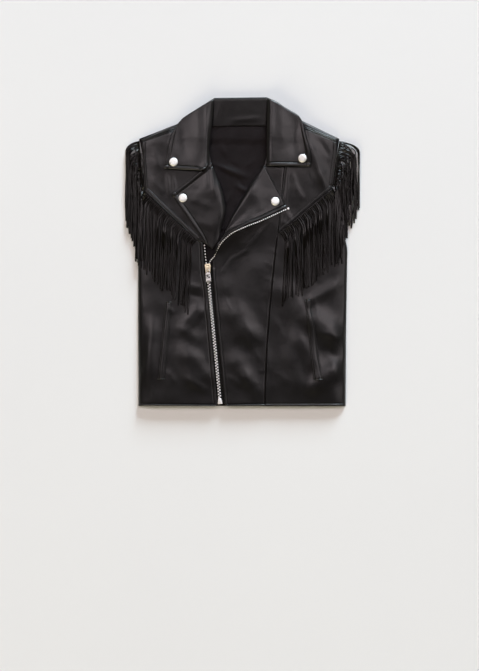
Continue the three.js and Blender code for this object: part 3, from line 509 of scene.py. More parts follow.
hemY = body["hemY"]
hemStitch = 5
cutPiece("back_panel", {
    "bottom": [(-208.4, hemY), (205.5, hemY)],
    "top": [(-207, 226), (-128, 256.6), (-64, 276), (-52, 257), (-30, 250), (26, 251), (46, 258), (58, 280),
            (117, 262.6), (193, 226)],
    "left": sideEdge(1, 226), "right": sideEdge(2, 226)},
    lambda x, y, u, v: backTop(x, y), walls["back"], spacing=5, outer=lining, inner=leather, drop=0.3)

liningFolds = [
    (-40, 168, 6, 150, 6, 1.6), (-14, 132, 14, 118, 5, 1.4), (-30, 200, -24, 236, 6, 1.0),
    (-56, 176, -12, 154, 3.5, 1.2), (-46, 214, -30, 190, 5, 0.9), (8, 170, 24, 186, 5, 0.8),
    (-20, 120, -34, 96, 5, 0.9), (22, 214, 30, 240, 6, 0.7), (-8, 146, 2, 128, 4, -0.8),
    (-26, 178, -6, 166, 3, -0.7), (4, 108, -6, 92, 5, 0.7)]
cutPiece("back_lining", {
    "bottom": [(-64, 44), (4, 44)],
    "top": softened([(-54, 240), (-44, 247.5), (-28, 249), (24, 249.6), (38, 248), (50, 240)]),
    "left": softened([(-64, 44), (-84, 150), (-54, 240)]), "right": softened([(4, 44), (66, 180), (50, 240)])},
    lambda x, y, u, v: backTop(x, y) + gap + walls["lining"] + 0.4 + foldSum(liningFolds, x, y),
    walls["lining"], restsOn=["back_panel"], outer=lining, slot="lining", drop=0.2)
print("back made")


leftZipEdge = [(-56, hemY), (-51.6, -304.6), (-51, -300), (-70.6, -76), (-76, -43), (-77, -24), (-79.4, 18)]
rightZipEdge = [(-31, hemY), (-35.4, -304.6), (-36.2, -300), (-57.4, -76), (-60.8, -30)]
leftRoll = [(-61, 5), (-51, 18), (-40, 54), (-34, 83), (-40, 118), (-52, 150), (-63, 178)]
rightRoll = [(-55.6, -6), (-49, 12), (-38, 33), (-24, 66), (-12, 88), (1, 111), (18, 139), (32, 156), (42.6, 173)]
princess = [(44.8, hemY), (47.6, -214), (51.6, -155), (56.4, -95), (64.4, -16), (70, 36)]
princessAbove = [(70, 36), (76, 96), (83, 168), (94, 258)]
leftYokeSeam = [(-197, 121), (-88, 18.5)]
rightYokeSeam = [(70.4, 36), (127, 84), (180.4, 129)]
placket = {"left": 7, "right": 6, "princess": 2.2, "yoke": 4}  # stitch lines, in from these edges


def frontSheet(name, rows, **more):
    cutPiece(name, rows, lambda x, y, u, v: frontTop(x, y), walls["front"], restsOn=["back_panel"], **more)


frontSheet("front_left", {
    "bottom": [(-208.4, hemY), leftZipEdge[0]], "top": [*leftYokeSeam, leftZipEdge[-1]],
    "left": sideEdge(1, 121), "right": softened(leftZipEdge)},
    seams={"bottom": hemStitch, "right": placket["left"]}, puff=1.7)
frontSheet("front_right_centre", {
    "bottom": [rightZipEdge[0], (44.6, hemY)], "top": [(60, 268), (93.6, 258)],
    "left": softened([*rightZipEdge, *rightRoll, (52, 215), (60, 268)]),
    "right": shifted(np.vstack([softened(princess)[:-1], softened(princessAbove)]), -0.2, 0)},
    seams={"bottom": hemStitch, "left": (placket["right"], -400, -34), "right": (placket["princess"], -400, 30)},
    puff=1.7)
frontSheet("front_right_side", {
    "bottom": [(45, hemY), (205.5, hemY)], "top": shifted(rightYokeSeam, 0, -0.4),
    "left": shifted(softened(princess), 0.2, -0.3), "right": sideEdge(2, 128.6)},
    seams={"bottom": hemStitch})
frontSheet("yoke_left", {
    "bottom": shifted([*leftYokeSeam, (-79, 18.2), (-61.4, 5)], 0, 0.6),
    "top": [(-200, 223), (-133, 245), (-70, 262)],
    "left": [(-197, 121.5), (-198.4, 158), (-201, 196), (-200, 223)],
    "right": shifted(softened([*leftRoll, (-68, 215), (-70, 262)]), 0, 0.6)},
    seams={"top": 3})
frontSheet("yoke_right", {
    "bottom": shifted(rightYokeSeam, 0.2, 0.2), "top": [(94, 258), (122, 248), (186, 222)],
    "left": shifted(softened(princessAbove), 0.2, 0.2),
    "right": [(180.6, 129.2), (183, 158), (188, 196), (186, 222)]},
    seams={"left": placket["yoke"], "top": 3}, puff=0.8)
bands = {
    "shoulder_band_left": ([(-199.6, 223.8), (-133, 245.8), (-70, 262.8)], [(-206, 223), (-128, 256.6), (-64, 275)]),
    "shoulder_band_right": ([(60, 268.8), (93.8, 259), (122, 249), (185.6, 222.8)],
                            [(59, 279), (117, 262), (192, 226)])}
for name, (seam, back) in bands.items():
    frontSheet(name, {"bottom": seam, "top": back, "left": [seam[0], back[0]], "right": [seam[-1], back[-1]]},
               seams={"bottom": 2.2})
print("fronts made")


stripSizes = {"ridge": 0.5, "groove": 0.9}


def strip(name, leftRows, rightRows, seat):
    # Two folded edges meet along the middle of the strip and leave a groove between two ridges.
    def height(x, y, u, v):
        bed = settled(seatOn([seat], x, y, frontTop(x, y)), 6)
        ridges = np.sin(math.pi * u) ** 0.5 - stripSizes["groove"] * np.exp(-((u - 0.5) / 0.1) ** 2)
        return bed + walls["strip"] + 2 * gap + stripSizes["ridge"] * ridges
    cutPiece(name, rowsBetween(softened(leftRows), softened(rightRows)), height, walls["strip"], restsOn=[seat],
             spacing=0.7, seams={"left": 1.5, "right": 1.5}, drop=0.5)


strip("armhole_strip_left", [(-196.6, 128), (-198, 158), (-200.6, 196), (-199.8, 219)],
      [(-189.4, 128), (-191.4, 158), (-194, 196), (-193, 220)], "yoke_left")
strip("armhole_strip_right", [(172.4, 132), (174.6, 158), (179.6, 196), (180, 219)],
      [(180, 134), (182.4, 158), (187.2, 196), (185.4, 217)], "yoke_right")
strip("yoke_strip_left", [(-91.6, 22.8), (-196.4, 121.8)], [(-85.6, 28.4), (-190, 126.6)], "yoke_left")
strip("yoke_strip_right", [(71.8, 46), (121, 88.4), (171.6, 130.4)], [(71.2, 37.4), (127.2, 85), (179.8, 129.6)],
      "yoke_right")

lapels = {
    "lapel_left": {
        "outer": [(-76.5, 19.5), (-142, 114)], "roll": leftRoll, "rollAt": 1, "beds": ["front_left", "yoke_left"],
        "lift": 5, "edgeLift": 0.6, "seams": {"left": 9, "top": 8},
        "folds": [(-64, 172, -56, 118, 3, 1.3), (-72, 166, -72, 128, 3.5, 0.9), (-58, 150, -46, 104, 4, -0.9),
                  (-104, 106, -62, 88, 8, 0.9), (-92, 60, -52, 48, 9, 0.7), (-112, 128, -86, 120, 6, -0.6)]},
    "lapel_right": {
        "outer": [(-59.5, -8.5), (-51.5, 9), (-40.5, 23.5), (-24, 37.6), (-9, 45.6), (13, 54.8), (34, 63), (88, 88)],
        "roll": rightRoll, "rollAt": 0, "beds": ["front_right_centre", "yoke_right"],
        "lift": 6, "edgeLift": 6.5, "seams": {"right": 6, "top": 1.6},
        "folds": [(-30, 30, 30, 84, 8, 1.0), (0, 84, 24, 130, 7, 0.8), (-2, 60, 48, 84, 5, -0.6)]}}
for name, lapel in lapels.items():
    outerRows, rollRows = softened(lapel["outer"]), softened(lapel["roll"])

    def height(x, y, u, v, lapel=lapel):
        fromRoll = np.abs(u - lapel["rollAt"])
        puff = lapel["lift"] * rounded(v, 0.4) * (1 - 0.7 * eased(0.7, 1, v))
        rise = puff * rounded(fromRoll * (12 + 84 * v), 8) * (1 - 0.8 * eased(0.1, 0.95, fromRoll))
        hump = lapel["edgeLift"] * np.sin(math.pi * v) * fromRoll ** 2
        bed = settled(seatOn(lapel["beds"], x, y, frontTop(x, y)), 12)
        creased = foldSum(lapel["folds"], x, y) * rounded(np.minimum(v, 1 - v), 0.1)
        return bed + gap + walls["lapel"] + 0.3 + rise + hump + creased
    first, second = (outerRows, rollRows) if lapel["rollAt"] else (rollRows, outerRows)
    cutPiece(name, rowsBetween(first, second), height, walls["lapel"], restsOn=lapel["beds"], seams=lapel["seams"],
             spacing=1.8, inner=leather, puff=0.8)
print("lapels made")

cutPiece("collar_fall", {
    "bottom": [(-120, 239), (112, 240)], "top": [(-56, 305), (48, 306)],
    "left": [(-120, 239), (-124, 256), (-114, 267), (-56, 305)],
    "right": [(112, 240), (114, 261), (106, 272), (48, 306)]},
    lambda x, y, u, v: np.full(np.shape(x), walls["back"]), walls["back"], drop=0.4, spacing=4, inner=leather)

collarStand = {"rise": 4.4, "topDrop": 1.6, "folds": [(-20, 262, 30, 266, 5, 0.7), (-52, 262, -44, 296, 5, 0.5)]}
cutPiece("collar_stand", {
    "bottom": softened([(-61.6, 251), (-45.6, 250.4), (-2, 252), (43, 251.4), (47.2, 251.6)]),
    "top": [(-56.4, 306.6), (48.2, 308)],
    "left": [(-61.6, 251), (-60, 257.4), (-56.4, 306.6)], "right": [(47.2, 251.6), (48.2, 308)]},
    lambda x, y, u, v: walls["back"] + body["collarLift"] + gap + walls["collar"] + 0.4
    + collarStand["rise"] * v - collarStand["topDrop"] * eased(0.93, 1, v) + foldSum(collarStand["folds"], x, y),
    walls["collar"], restsOn=["back_panel", "collar_fall"], drop=0.3, inner=leather)

collarRise = {"roll": 4.8, "edge": 2.4, "climb": 3.4}
collars = {
    "collar_left": {
        "outer": [(-157, 165), (-147.4, 209), (-140, 235), (-128, 257)],
        "roll": [(-75, 160.6), (-69, 170), (-66.4, 184), (-66.4, 206), (-63, 240), (-60.6, 257), (-57, 307)],
        "fold": [(-128, 257), (-117, 269), (-57, 307)], "rollAt": 1, "seams": {"left": 9.5, "bottom": 7},
        "folds": [(-72, 296, -72, 178, 4, 0.9), (-92, 280, -84, 214, 9, 1.0), (-124, 240, -112, 192, 12, -1.2)]},
    "collar_right": {
        "outer": [(134.4, 169), (133.4, 196), (123, 235), (117, 263)],
        "roll": [(46.8, 170.4), (47.4, 240), (48.6, 308)],
        "fold": [(48.6, 308), (67, 300), (83.6, 289), (110, 273), (117, 263)], "rollAt": 0,
        "seams": {"right": 9.5, "bottom": 7},
        "folds": [(58, 300, 56, 230, 5, 0.9), (76, 286, 80, 216, 10, 0.9), (104, 260, 100, 200, 12, -1.2)]}}


def collarBed(x, y):
    # What the collar ends lie on: the fronts and lapels, and a slow fall past the shoulder.
    beyond = y - np.interp(x, shoulderLine[:, 0], shoulderLine[:, 1])
    low = body["seamTop"] + body["collarLift"]
    past = low - 0.9 * eased(0, 44, beyond)
    return seatOn(["lapel_left", "lapel_right"], x, y, np.where(beyond < 0, frontTop(x, y), past))


for name, collar in collars.items():
    def height(x, y, u, v, collar=collar):
        fromRoll = np.abs(u - collar["rollAt"])
        rise = collarRise["roll"] * rounded(fromRoll, 0.12) * (1 - 0.6 * eased(0.08, 0.95, fromRoll))
        loft = (rise + collarRise["edge"] + collarRise["climb"] * v) * rounded(1 - v, 0.035)
        creased = foldSum(collar["folds"], x, y) * rounded(1 - v, 0.2)
        return settled(collarBed(x, y), 30) + gap + walls["collar"] + loft + creased
    outerRows, rollRows = softened(collar["outer"]), softened(collar["roll"])
    first, second = (outerRows, rollRows) if collar["rollAt"] else (rollRows, outerRows)
    cutPiece(name, {**rowsBetween(first, second), "top": softened(collar["fold"])}, height, walls["collar"],
             restsOn=["shoulder_" + name.replace("collar", "band"), "yoke_" + name[7:]],
             seams=collar["seams"], spacing=1.8, inner=leather, puff=0.5)
print("collar made")


welt = {"puff": 1.7}
welts = {
    "pocket_welt_left": ([(-169.4, -255), (-154.8, -100)], [(-155.6, -254.4), (-141, -99.4)], "front_left"),
    "pocket_welt_right": ([(140.6, -256), (123, -95)], [(158.6, -255), (134.6, -94)], "front_right_side")}
for name, (leftRows, rightRows, seat) in welts.items():
    def height(x, y, u, v, seat=seat):
        bed = settled(seatOn([seat], x, y, 0), 10)
        return bed + walls["welt"] + gap + welt["puff"] * np.sin(math.pi * u) + foldSum(smallFolds, x, y) * 0.5
    cutPiece(name, rowsBetween(leftRows, rightRows), height, walls["welt"], restsOn=[seat], spacing=2,
             seams={"left": 2, "right": 2, "top": 2, "bottom": 2})
print("pockets made")


def newTree(name, inputs):
    tree = bpy.data.node_groups.new(name, "GeometryNodeTree")
    tree.interface.new_socket("Geometry", in_out="INPUT", socket_type="NodeSocketGeometry")
    for label, kind, value in inputs:
        socket = tree.interface.new_socket(label, in_out="INPUT", socket_type=kind)
        if value is not None:
            socket.default_value = value
    tree.interface.new_socket("Geometry", in_out="OUTPUT", socket_type="NodeSocketGeometry")
    return tree, addNode(tree, "NodeGroupInput").outputs


def closeTree(tree, geometry, material):
    real = addNode(tree, "GeometryNodeRealizeInstances", {"Geometry": geometry})
    painted = addNode(tree, "GeometryNodeSetMaterial", {"Geometry": real.outputs[0], "Material": material})
    smooth = addNode(tree, "GeometryNodeSetShadeSmooth", {"Geometry": painted.outputs[0], "Shade Smooth": True})
    addNode(tree, "NodeGroupOutput", {"Geometry": smooth.outputs[0]})
    return tree


def itemsAlongTree():
    tree, given = newTree("itemsAlongPath", [
        ("Item", "NodeSocketObject", None), ("Pitch", "NodeSocketFloat", 0.0036), ("Uneven", "NodeSocketFloat", 0.0),
        ("Seed", "NodeSocketInt", 3), ("Material", "NodeSocketMaterial", None)])
    path = addNode(tree, "GeometryNodeMeshToCurve", {"Mesh": given["Geometry"]})
    spaced = addNode(tree, "GeometryNodeResampleCurve", {
        "Curve": path.outputs[0], "Length": given["Pitch"]}, mode="LENGTH")
    along = addNode(tree, "GeometryNodeInputNamedAttribute", {"Name": "along"}, data_type="FLOAT_VECTOR")
    upward = addNode(tree, "GeometryNodeInputNamedAttribute", {"Name": "upward"}, data_type="FLOAT_VECTOR")
    facing = addNode(tree, "FunctionNodeAlignRotationToVector", {"Vector": along.outputs["Attribute"]}, axis="X")
    lying = addNode(tree, "FunctionNodeAlignRotationToVector", {
        "Rotation": facing.outputs[0], "Vector": upward.outputs["Attribute"]}, axis="Z", pivot_axis="X")
    item = addNode(tree, "GeometryNodeObjectInfo", {"Object": given["Item"], "As Instance": True})
    least = addNode(tree, "ShaderNodeMath", {0: 1.0, 1: given["Uneven"]}, operation="SUBTRACT")
    size = addNode(tree, "FunctionNodeRandomValue", {"Seed": given["Seed"]}, data_type="FLOAT")
    tree.links.new(least.outputs[0], size.inputs[2])
    size.inputs[3].default_value = 1.0
    placed = addNode(tree, "GeometryNodeInstanceOnPoints", {
        "Points": spaced.outputs[0], "Instance": item.outputs["Geometry"], "Rotation": lying.outputs[0],
        "Scale": size.outputs[1]})
    return closeTree(tree, placed.outputs[0], given["Material"])


def strandsAlongTree():
    tree, given = newTree("strandsAlongPaths", [
        ("Width", "NodeSocketFloat", 0.0032), ("Thickness", "NodeSocketFloat", 0.0008),
        ("Material", "NodeSocketMaterial", None)])
    path = addNode(tree, "GeometryNodeMeshToCurve", {"Mesh": given["Geometry"]})
    upright = addNode(tree, "GeometryNodeSetCurveNormal", {"Curve": path.outputs[0]}, mode="Z_UP")
    twist = addNode(tree, "GeometryNodeInputNamedAttribute", {"Name": "twist"}, data_type="FLOAT")
    turned = addNode(tree, "GeometryNodeSetCurveTilt", {
        "Curve": upright.outputs[0], "Tilt": twist.outputs["Attribute"]})
    ring = addNode(tree, "GeometryNodeCurvePrimitiveCircle", {"Resolution": 8, "Radius": 0.5})
    across = addNode(tree, "ShaderNodeCombineXYZ", {"X": given["Width"], "Y": given["Thickness"], "Z": 1.0})
    section = addNode(tree, "GeometryNodeTransform", {"Geometry": ring.outputs[0], "Scale": across.outputs[0]})
    swept = addNode(tree, "GeometryNodeCurveToMesh", {
        "Curve": turned.outputs[0], "Profile Curve": section.outputs[0], "Fill Caps": True})
    return closeTree(tree, swept.outputs[0], given["Material"])


itemsAlong, strandsAlong = itemsAlongTree(), strandsAlongTree()


def pathsMesh(name, runs, attributes=None):
    # Loose edges through each run of points, with the run's direction and the way up kept on them.
    points, edges, along, upward = [], [], [], []
    for run in runs:
        start = len(points)
        points += (run * mm).tolist()
        edges += [(start + i, start + i + 1) for i in range(len(run) - 1)]
        heading = np.gradient(run, axis=0)
        heading /= np.linalg.norm(heading, axis=1, keepdims=True)
        along += heading.tolist()
        sideways = np.cross([0, 0, 1], heading)
        upward += np.cross(heading, sideways).tolist()
    mesh = bpy.data.meshes.new(name)
    mesh.from_pydata(points, edges, [])
    for label, values in (("along", along), ("upward", upward)):
        mesh.attributes.new(label, "FLOAT_VECTOR", "POINT").data.foreach_set("vector", np.array(values).ravel())
    for label, values in (attributes or {}).items():
        mesh.attributes.new(label, "FLOAT", "POINT").data.foreach_set("value", np.concatenate(values))
    return newObject(name, mesh)


def grownMesh(holder, tree, values):
    # The tree's result as a plain mesh; the holder is not kept.
    modifier = holder.modifiers.new("grown", "NODES")
    modifier.node_group = tree
    names = {item.name: item.identifier for item in tree.interface.items_tree if item.in_out == "INPUT"}
    for label, value in values.items():
        modifier[names[label]] = value
    depsgraph = bpy.context.evaluated_depsgraph_get()
    mesh = bpy.data.meshes.new_from_object(holder.evaluated_get(depsgraph), depsgraph=depsgraph)
    mesh.name = holder.name
    old = holder.data
    bpy.data.objects.remove(holder)
    bpy.data.meshes.remove(old)
    for label in ("along", "upward", "twist"):
        if label in mesh.attributes:
            mesh.attributes.remove(mesh.attributes[label])
    return mesh


def prism(shape, outlineRows, low, high, bevel, hole=None):
    # One raised outline, its edges rounded, added to a bmesh.
    made = bmesh.new()
    loops = [outlineRows] + ([hole] if hole else [])
    edges = []
    for rows in loops:
        ring = [made.verts.new((x, y, low)) for x, y in rows]
        edges += [made.edges.new((ring[i], ring[(i + 1) % len(ring)])) for i in range(len(ring))]
    flat = bmesh.ops.triangle_fill(made, use_beauty=True, edges=edges)["geom"]
    faces = [item for item in flat if isinstance(item, bmesh.types.BMFace)]
    moved = bmesh.ops.extrude_face_region(made, geom=faces)["geom"]
    upper = [item for item in moved if isinstance(item, bmesh.types.BMVert)]
    bmesh.ops.translate(made, vec=(0, 0, high - low), verts=upper)
    bmesh.ops.dissolve_limit(made, angle_limit=0.02, verts=made.verts, edges=made.edges)
    bmesh.ops.recalc_face_normals(made, faces=made.faces)
    sharp = [edge for edge in made.edges if len(edge.link_faces) == 2 and edge.calc_face_angle(0) > 0.5]
    bmesh.ops.bevel(made, geom=sharp, offset=bevel, segments=2, profile=0.6, affect="EDGES", clamp_overlap=True)
    part = bpy.data.meshes.new("part")
    made.to_mesh(part)
    made.free()
    shape.from_mesh(part)
    bpy.data.meshes.remove(part)


def finishedMesh(name, shape, material, matrix=None, unit=mm):
    mesh = bpy.data.meshes.new(name)
    if matrix is not None:
        bmesh.ops.transform(shape, matrix=matrix, verts=shape.verts)
    if unit != 1:
        bmesh.ops.scale(shape, vec=(unit, unit, unit), verts=shape.verts)
    shape.to_mesh(mesh)
    shape.free()
    mesh.materials.append(material)
    mesh.shade_smooth()
    mesh.set_sharp_from_angle(angle=math.radians(35))
    return mesh


zipChain = {
    "pitch": 5.7, "toothLong": 2.6, "toothDeep": 3, "apart": 1.5, "shift": 0.3, "thick": 2.4, "openPitch": 4.4,
    "openSlim": 0.66, "tapeWidth": 13, "tapeDrop": 0.8, "topLift": 2.1, "foot": -303,
    "closedFrom": -290, "closedTo": -39}
zipCentre = np.array([(-304, -45), (-60, -68.4), (-20, -70.5)])  # y, x


def zipTop(x, y):
    # The zip lies against the inner face of the fronts.
    return frontTop(x, y) - walls["front"] - gap


def onZip(rows, lift):
    rows = np.array(rows, float)
    return np.column_stack([rows, zipTop(rows[:, 0], rows[:, 1]) + lift])


def zipLine(fromY, toY, shift, step=6):
    y = np.arange(fromY, toY + 0.01, step if toY > fromY else -step)
    return np.column_stack([np.interp(y, zipCentre[:, 0], zipCentre[:, 1]) + shift, y])


tapeShift = zipChain["tapeWidth"] / 2 + gap / 2
tapes = {
    "zip_tape_left": (-tapeShift, [(-79.6, -22), (-84, 14)], "front_left"),
    "zip_tape_right": (tapeShift, [(-62, -33)], "front_right_centre")}
for name, (shift, opened, seat) in tapes.items():
    path = onZip(np.vstack([zipLine(zipChain["foot"], -46, shift), opened]), -zipChain["tapeDrop"])
    heading = np.gradient(path, axis=0)
    across = np.column_stack([heading[:, 1], -heading[:, 0], np.zeros(len(path))])
    across *= zipChain["tapeWidth"] / 2 / np.linalg.norm(across, axis=1, keepdims=True)
    outer = path[:, None, :] + across[:, None, :] * np.linspace(-1, 1, 7)[None, :, None]
    piece = addPiece(name, shellMesh(name, outer, outer - [0, 0, walls["tape"]], tape, tape))
    length = float(np.linalg.norm(np.diff(path, axis=0), axis=1).sum())


def toothItem(name, side, slim=1):
    # One tooth, its foot clamped on the tape and its head reaching towards the other row.
    half, head = zipChain["toothLong"] / 2, zipChain["toothDeep"] / 2
    rows = [(-half, -head), (half, -head), (half, 0.3), (0.72 * half, 0.6), (0.95 * half, 1.1), (0.6 * half, head),
            (-0.6 * half, head), (-0.95 * half, 1.1), (-0.72 * half, 0.6), (-half, 0.3)]
    shape = bmesh.new()
    prism(shape, [(x, side * slim * y) for x, y in rows][::side], -zipChain["thick"], 0, 0.28)
    return newObject(name, finishedMesh(name, shape, teethMetal))


toothLeft, toothRight = toothItem("toothLeft", -1), toothItem("toothRight", 1)
toothOpen = toothItem("toothOpen", -1, zipChain["openSlim"])


def teethRow(name, run, item, pitch=zipChain["pitch"]):
    return grownMesh(pathsMesh(name, [run]), itemsAlong, {"Item": item, "Pitch": pitch * mm, "Material": teethMetal})


def joinedMesh(name, meshes):
    shape = bmesh.new()
    for mesh in meshes:
        shape.from_mesh(mesh)
    return finishedMesh(name, shape, teethMetal, unit=1)


# Both closed rows run up the middle, half a pitch out of step.
closedRows = []
for name, item, start, side in (("rowLeft", toothLeft, 0, -1), ("rowRight", toothRight, zipChain["pitch"] / 2, 1)):
    run = zipLine(zipChain["closedFrom"] + start, zipChain["closedTo"] + start,
                  zipChain["shift"] + side * zipChain["apart"], 1.7)
    closedRows.append(teethRow(name, onZip(run, zipChain["topLift"]), item))
addPiece("zip_teeth_closed", joinedMesh("zip_teeth_closed", closedRows))

leftOpen = onZip(softened([(-73, -22.6), (-74.6, -8), (-76.4, 12.6)]), zipChain["topLift"])
addPiece("zip_teeth_left", teethRow("zip_teeth_left", leftOpen, toothOpen))

lapelEdge = surfaces["lapel_right"][:, -1]
edgeHeading = np.gradient(lapelEdge, axis=0)
outward = np.column_stack([edgeHeading[:, 1], -edgeHeading[:, 0]])
outward /= np.linalg.norm(outward, axis=1, keepdims=True)
rightOpen = lapelEdge[::3] + np.column_stack([outward * 3.0, np.zeros(len(outward))])[::3]
startOpen = onZip([(-66.6, -23.6), (-64.6, -18)], zipChain["topLift"])
startOpen[1, 2] = (startOpen[0, 2] + rightOpen[0, 2]) / 2
rightOpen = np.vstack([startOpen, rightOpen])
rightOpen[2:, 2] += 0.2
stopShape = bmesh.new()
prism(stopShape, [(-1.6, -2.6), (1.6, -2.6), (1.6, 1.4), (-1.6, 1.4)], -zipChain["thick"], 0.3, 0.3)
stopPlace = Matrix.Translation(rightOpen[-1] + [1.6, 0.8, 0]) @ Matrix.Rotation(math.radians(24), 4, "Z")
addPiece("zip_teeth_right", joinedMesh("zip_teeth_right", [
    teethRow("rowRightOpen", rightOpen, toothOpen, zipChain["openPitch"]),
    finishedMesh("topStop", stopShape, teethMetal, stopPlace)]))
for item in (toothLeft, toothRight, toothOpen):
    bpy.data.objects.remove(item)
print("zip teeth made")


slider = {"y": -33.4, "length": 18, "width": 12, "foot": 9.8, "plate": 1.5, "turn": math.radians(3)}
bridge = {"width": 2.6, "foot": -4.6, "top": 4.6, "wall": 1.0, "height": 3.3}
plateZ = zipChain["topLift"] + gap
sliderX = float(np.interp(slider["y"], zipCentre[:, 0], zipCentre[:, 1]))
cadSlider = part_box("zip_slider")
sliderZ = cadSlider[0][2] / mm + walls["tape"] + zipChain["tapeDrop"] + gap + slider["plate"]
sliderPlace = Matrix.Translation((sliderX, slider["y"], sliderZ)) @ Matrix.Rotation(slider["turn"], 4, "Z")


def cornered(topWidth, footWidth, topY, footY, corner):
    top, foot = topWidth / 2, footWidth / 2
    return [(-foot + corner, footY), (foot - corner, footY), (foot, footY + corner), (top, topY - corner),
            (top - corner, topY), (-top + corner, topY), (-top, topY - corner), (-foot, footY + corner)]


def arched(inset, corner, foot):
    a, b, high = bridge["foot"] + inset, bridge["top"] - inset, bridge["height"] - inset
    return [(a, foot), (b, foot), (b, high - corner), (b - corner, high), (a + corner, high), (a, high - corner)]


half = slider["length"] / 2
under = -walls["tape"] - zipChain["tapeDrop"] - gap - slider["plate"]
plateTop = plateZ + slider["plate"]
shape = bmesh.new()
plate = cornered(slider["width"], slider["foot"], half, -half, 2.2)
prism(shape, plate, plateZ, plateTop, 0.35)
prism(shape, plate, under, under + slider["plate"], 0.35)
prism(shape, [(-0.4, half - 4.6), (0.9, half - 0.6), (-1.7, half - 0.6)], under + 0.2, plateZ + 0.2, 0.1)
for sign in (-1, 1):
    inside, outside, foot = sign * 4.2, sign * 5.3, -half + 0.6
    prism(shape, [(inside, foot), (outside, foot), (outside, 1.5), (inside, 1.5)], 0, plateZ + 0.2, 0.1)
prism(shape, cornered(8.6, 7.4, half - 1.2, 4.9, 1.2), plateTop - 0.1, plateTop + 0.45, 0.15)
arch = bmesh.new()
prism(arch, arched(0, 1.1, 0), -bridge["width"] / 2, bridge["width"] / 2, 0.3, hole=arched(bridge["wall"], 0.7, 0.1))
quarter = math.pi / 2
onEdge = Matrix.Rotation(quarter, 4, "Z") @ Matrix.Rotation(quarter, 4, "X")
upright = Matrix.Translation((0, 0, plateTop - 0.1)) @ onEdge
bmesh.ops.transform(arch, matrix=upright, verts=arch.verts)
part = bpy.data.meshes.new("arch")
arch.to_mesh(part)
arch.free()
shape.from_mesh(part)
addPiece("zip_slider", finishedMesh("zip_slider", shape, sliderMetal, sliderPlace))

pull = {"width": 10.6, "top": -8.4, "foot": -28, "thick": 1.3, "armIn": 1.9, "armOut": 3.5, "bar": 0.65}
hingeY, hingeZ = bridge["foot"] + bridge["wall"] + 1, plateTop + 1.15
low = hingeZ - pull["bar"]
shape = bmesh.new()
prism(shape, cornered(pull["width"] - 1.4, pull["width"], pull["top"], pull["foot"], 2.0), low,
      low + pull["thick"], 0.3, hole=[(-3, -20), (3, -20), (3, -13), (-3, -13)])
prism(shape, cornered(7.6, 8.2, -21.4, -26.6, 1.0), low + pull["thick"] - 0.1, low + pull["thick"] + 0.3, 0.12)
for sign in (-1, 1):
    rows = [(sign * pull["armIn"], pull["top"] - 1), (sign * pull["armOut"], pull["top"] - 1),
            (sign * pull["armOut"], hingeY + 0.5), (sign * pull["armIn"], hingeY + 0.5)]
    prism(shape, rows, low, low + pull["thick"], 0.3)
bar = bmesh.ops.create_cone(shape, cap_ends=True, segments=20, radius1=pull["bar"], radius2=pull["bar"],
                            depth=2 * pull["armIn"] + 0.6)
across = Matrix.Translation((0, hingeY, hingeZ)) @ Matrix.Rotation(quarter, 4, "Y")
bmesh.ops.transform(shape, matrix=across, verts=bar["verts"])
addPiece("zip_pull", finishedMesh("zip_pull", shape, pullMetal, sliderPlace), rides="pull")

endY = -297.6
endX = float(np.interp(endY, zipCentre[:, 0], zipCentre[:, 1]))
endTurn = Matrix.Rotation(1.8 * slider["turn"], 4, "Z")
endPlace = Matrix.Translation((endX, endY, float(zipTop(-45, endY)) - 0.5)) @ endTurn
shape = bmesh.new()
prism(shape, cornered(5.6, 9.6, 6, -6, 0.8), 0, 3.0, 0.3)
prism(shape, cornered(2.4, 3.0, 5, -5, 0.6), 2.8, 3.5, 0.2)
addPiece("zip_end_box", finishedMesh("zip_end_box", shape, teethMetal, endPlace))

snap = {"radius": 8.4, "segments": 48, "seatPoints": 16, "over": 0.1, "profile": [  # distance out, height
    (0, 2.4), (1.8, 2.39), (3.6, 2.35), (5.2, 2.25), (6.4, 2.06), (7.1, 1.8), (7.6, 1.44), (7.9, 1.42), (8.2, 1.2),
    (8.4, 0.75), (8.2, 0.3), (7.8, 0)]}
snaps = {"snap_collar_left": (-137.8, 177.6, "collar_left"), "snap_lapel_left": (-119.4, 106.4, "lapel_left"),
         "snap_lapel_right": (64.4, 99.6, "lapel_right"), "snap_collar_right": (118.4, 185, "collar_right")}
for name, (x, y, seat) in snaps.items():
    # The cap is laid on the plane that fits the cloth under its rim best, lifted clear of it.
    around = np.linspace(0, math.tau, snap["seatPoints"], endpoint=False)
    ringX, ringY = x + snap["radius"] * np.cos(around), y + snap["radius"] * np.sin(around)
    heights = seatOn([seat], ringX, ringY)
    plane = np.column_stack([ringX - x, ringY - y, np.ones(snap["seatPoints"])])
    fit = np.linalg.lstsq(plane, heights, rcond=None)[0]
    clear = float(np.max(heights - fit[0] * (ringX - x) - fit[1] * (ringY - y))) + snap["over"]
    tilt = Vector((0, 0, 1)).rotation_difference(Vector((-fit[0], -fit[1], 1)).normalized()).to_matrix().to_4x4()
    shape = bmesh.new()
    turns = np.linspace(0, math.tau, snap["segments"], endpoint=False)
    rings = [[shape.verts.new((r * math.cos(a), r * math.sin(a), z)) for a in turns] for r, z in snap["profile"][1:]]
    crown = shape.verts.new((0, 0, snap["profile"][0][1]))
    for i in range(len(turns)):
        j = (i + 1) % len(turns)
        shape.faces.new((crown, rings[0][i], rings[0][j]))
        for inside, outside in zip(rings[:-1], rings[1:]):
            shape.faces.new((inside[i], outside[i], outside[j], inside[j]))
    shape.faces.new(rings[-1][::-1])
    bmesh.ops.recalc_face_normals(shape, faces=shape.faces)
    addPiece(name, finishedMesh(name, shape, snapMetal, Matrix.Translation((x, y, clear)) @ tilt))
print("metal made")


def between(first, last, share):
    return np.asarray(first) * (1 - share) + np.asarray(last) * share


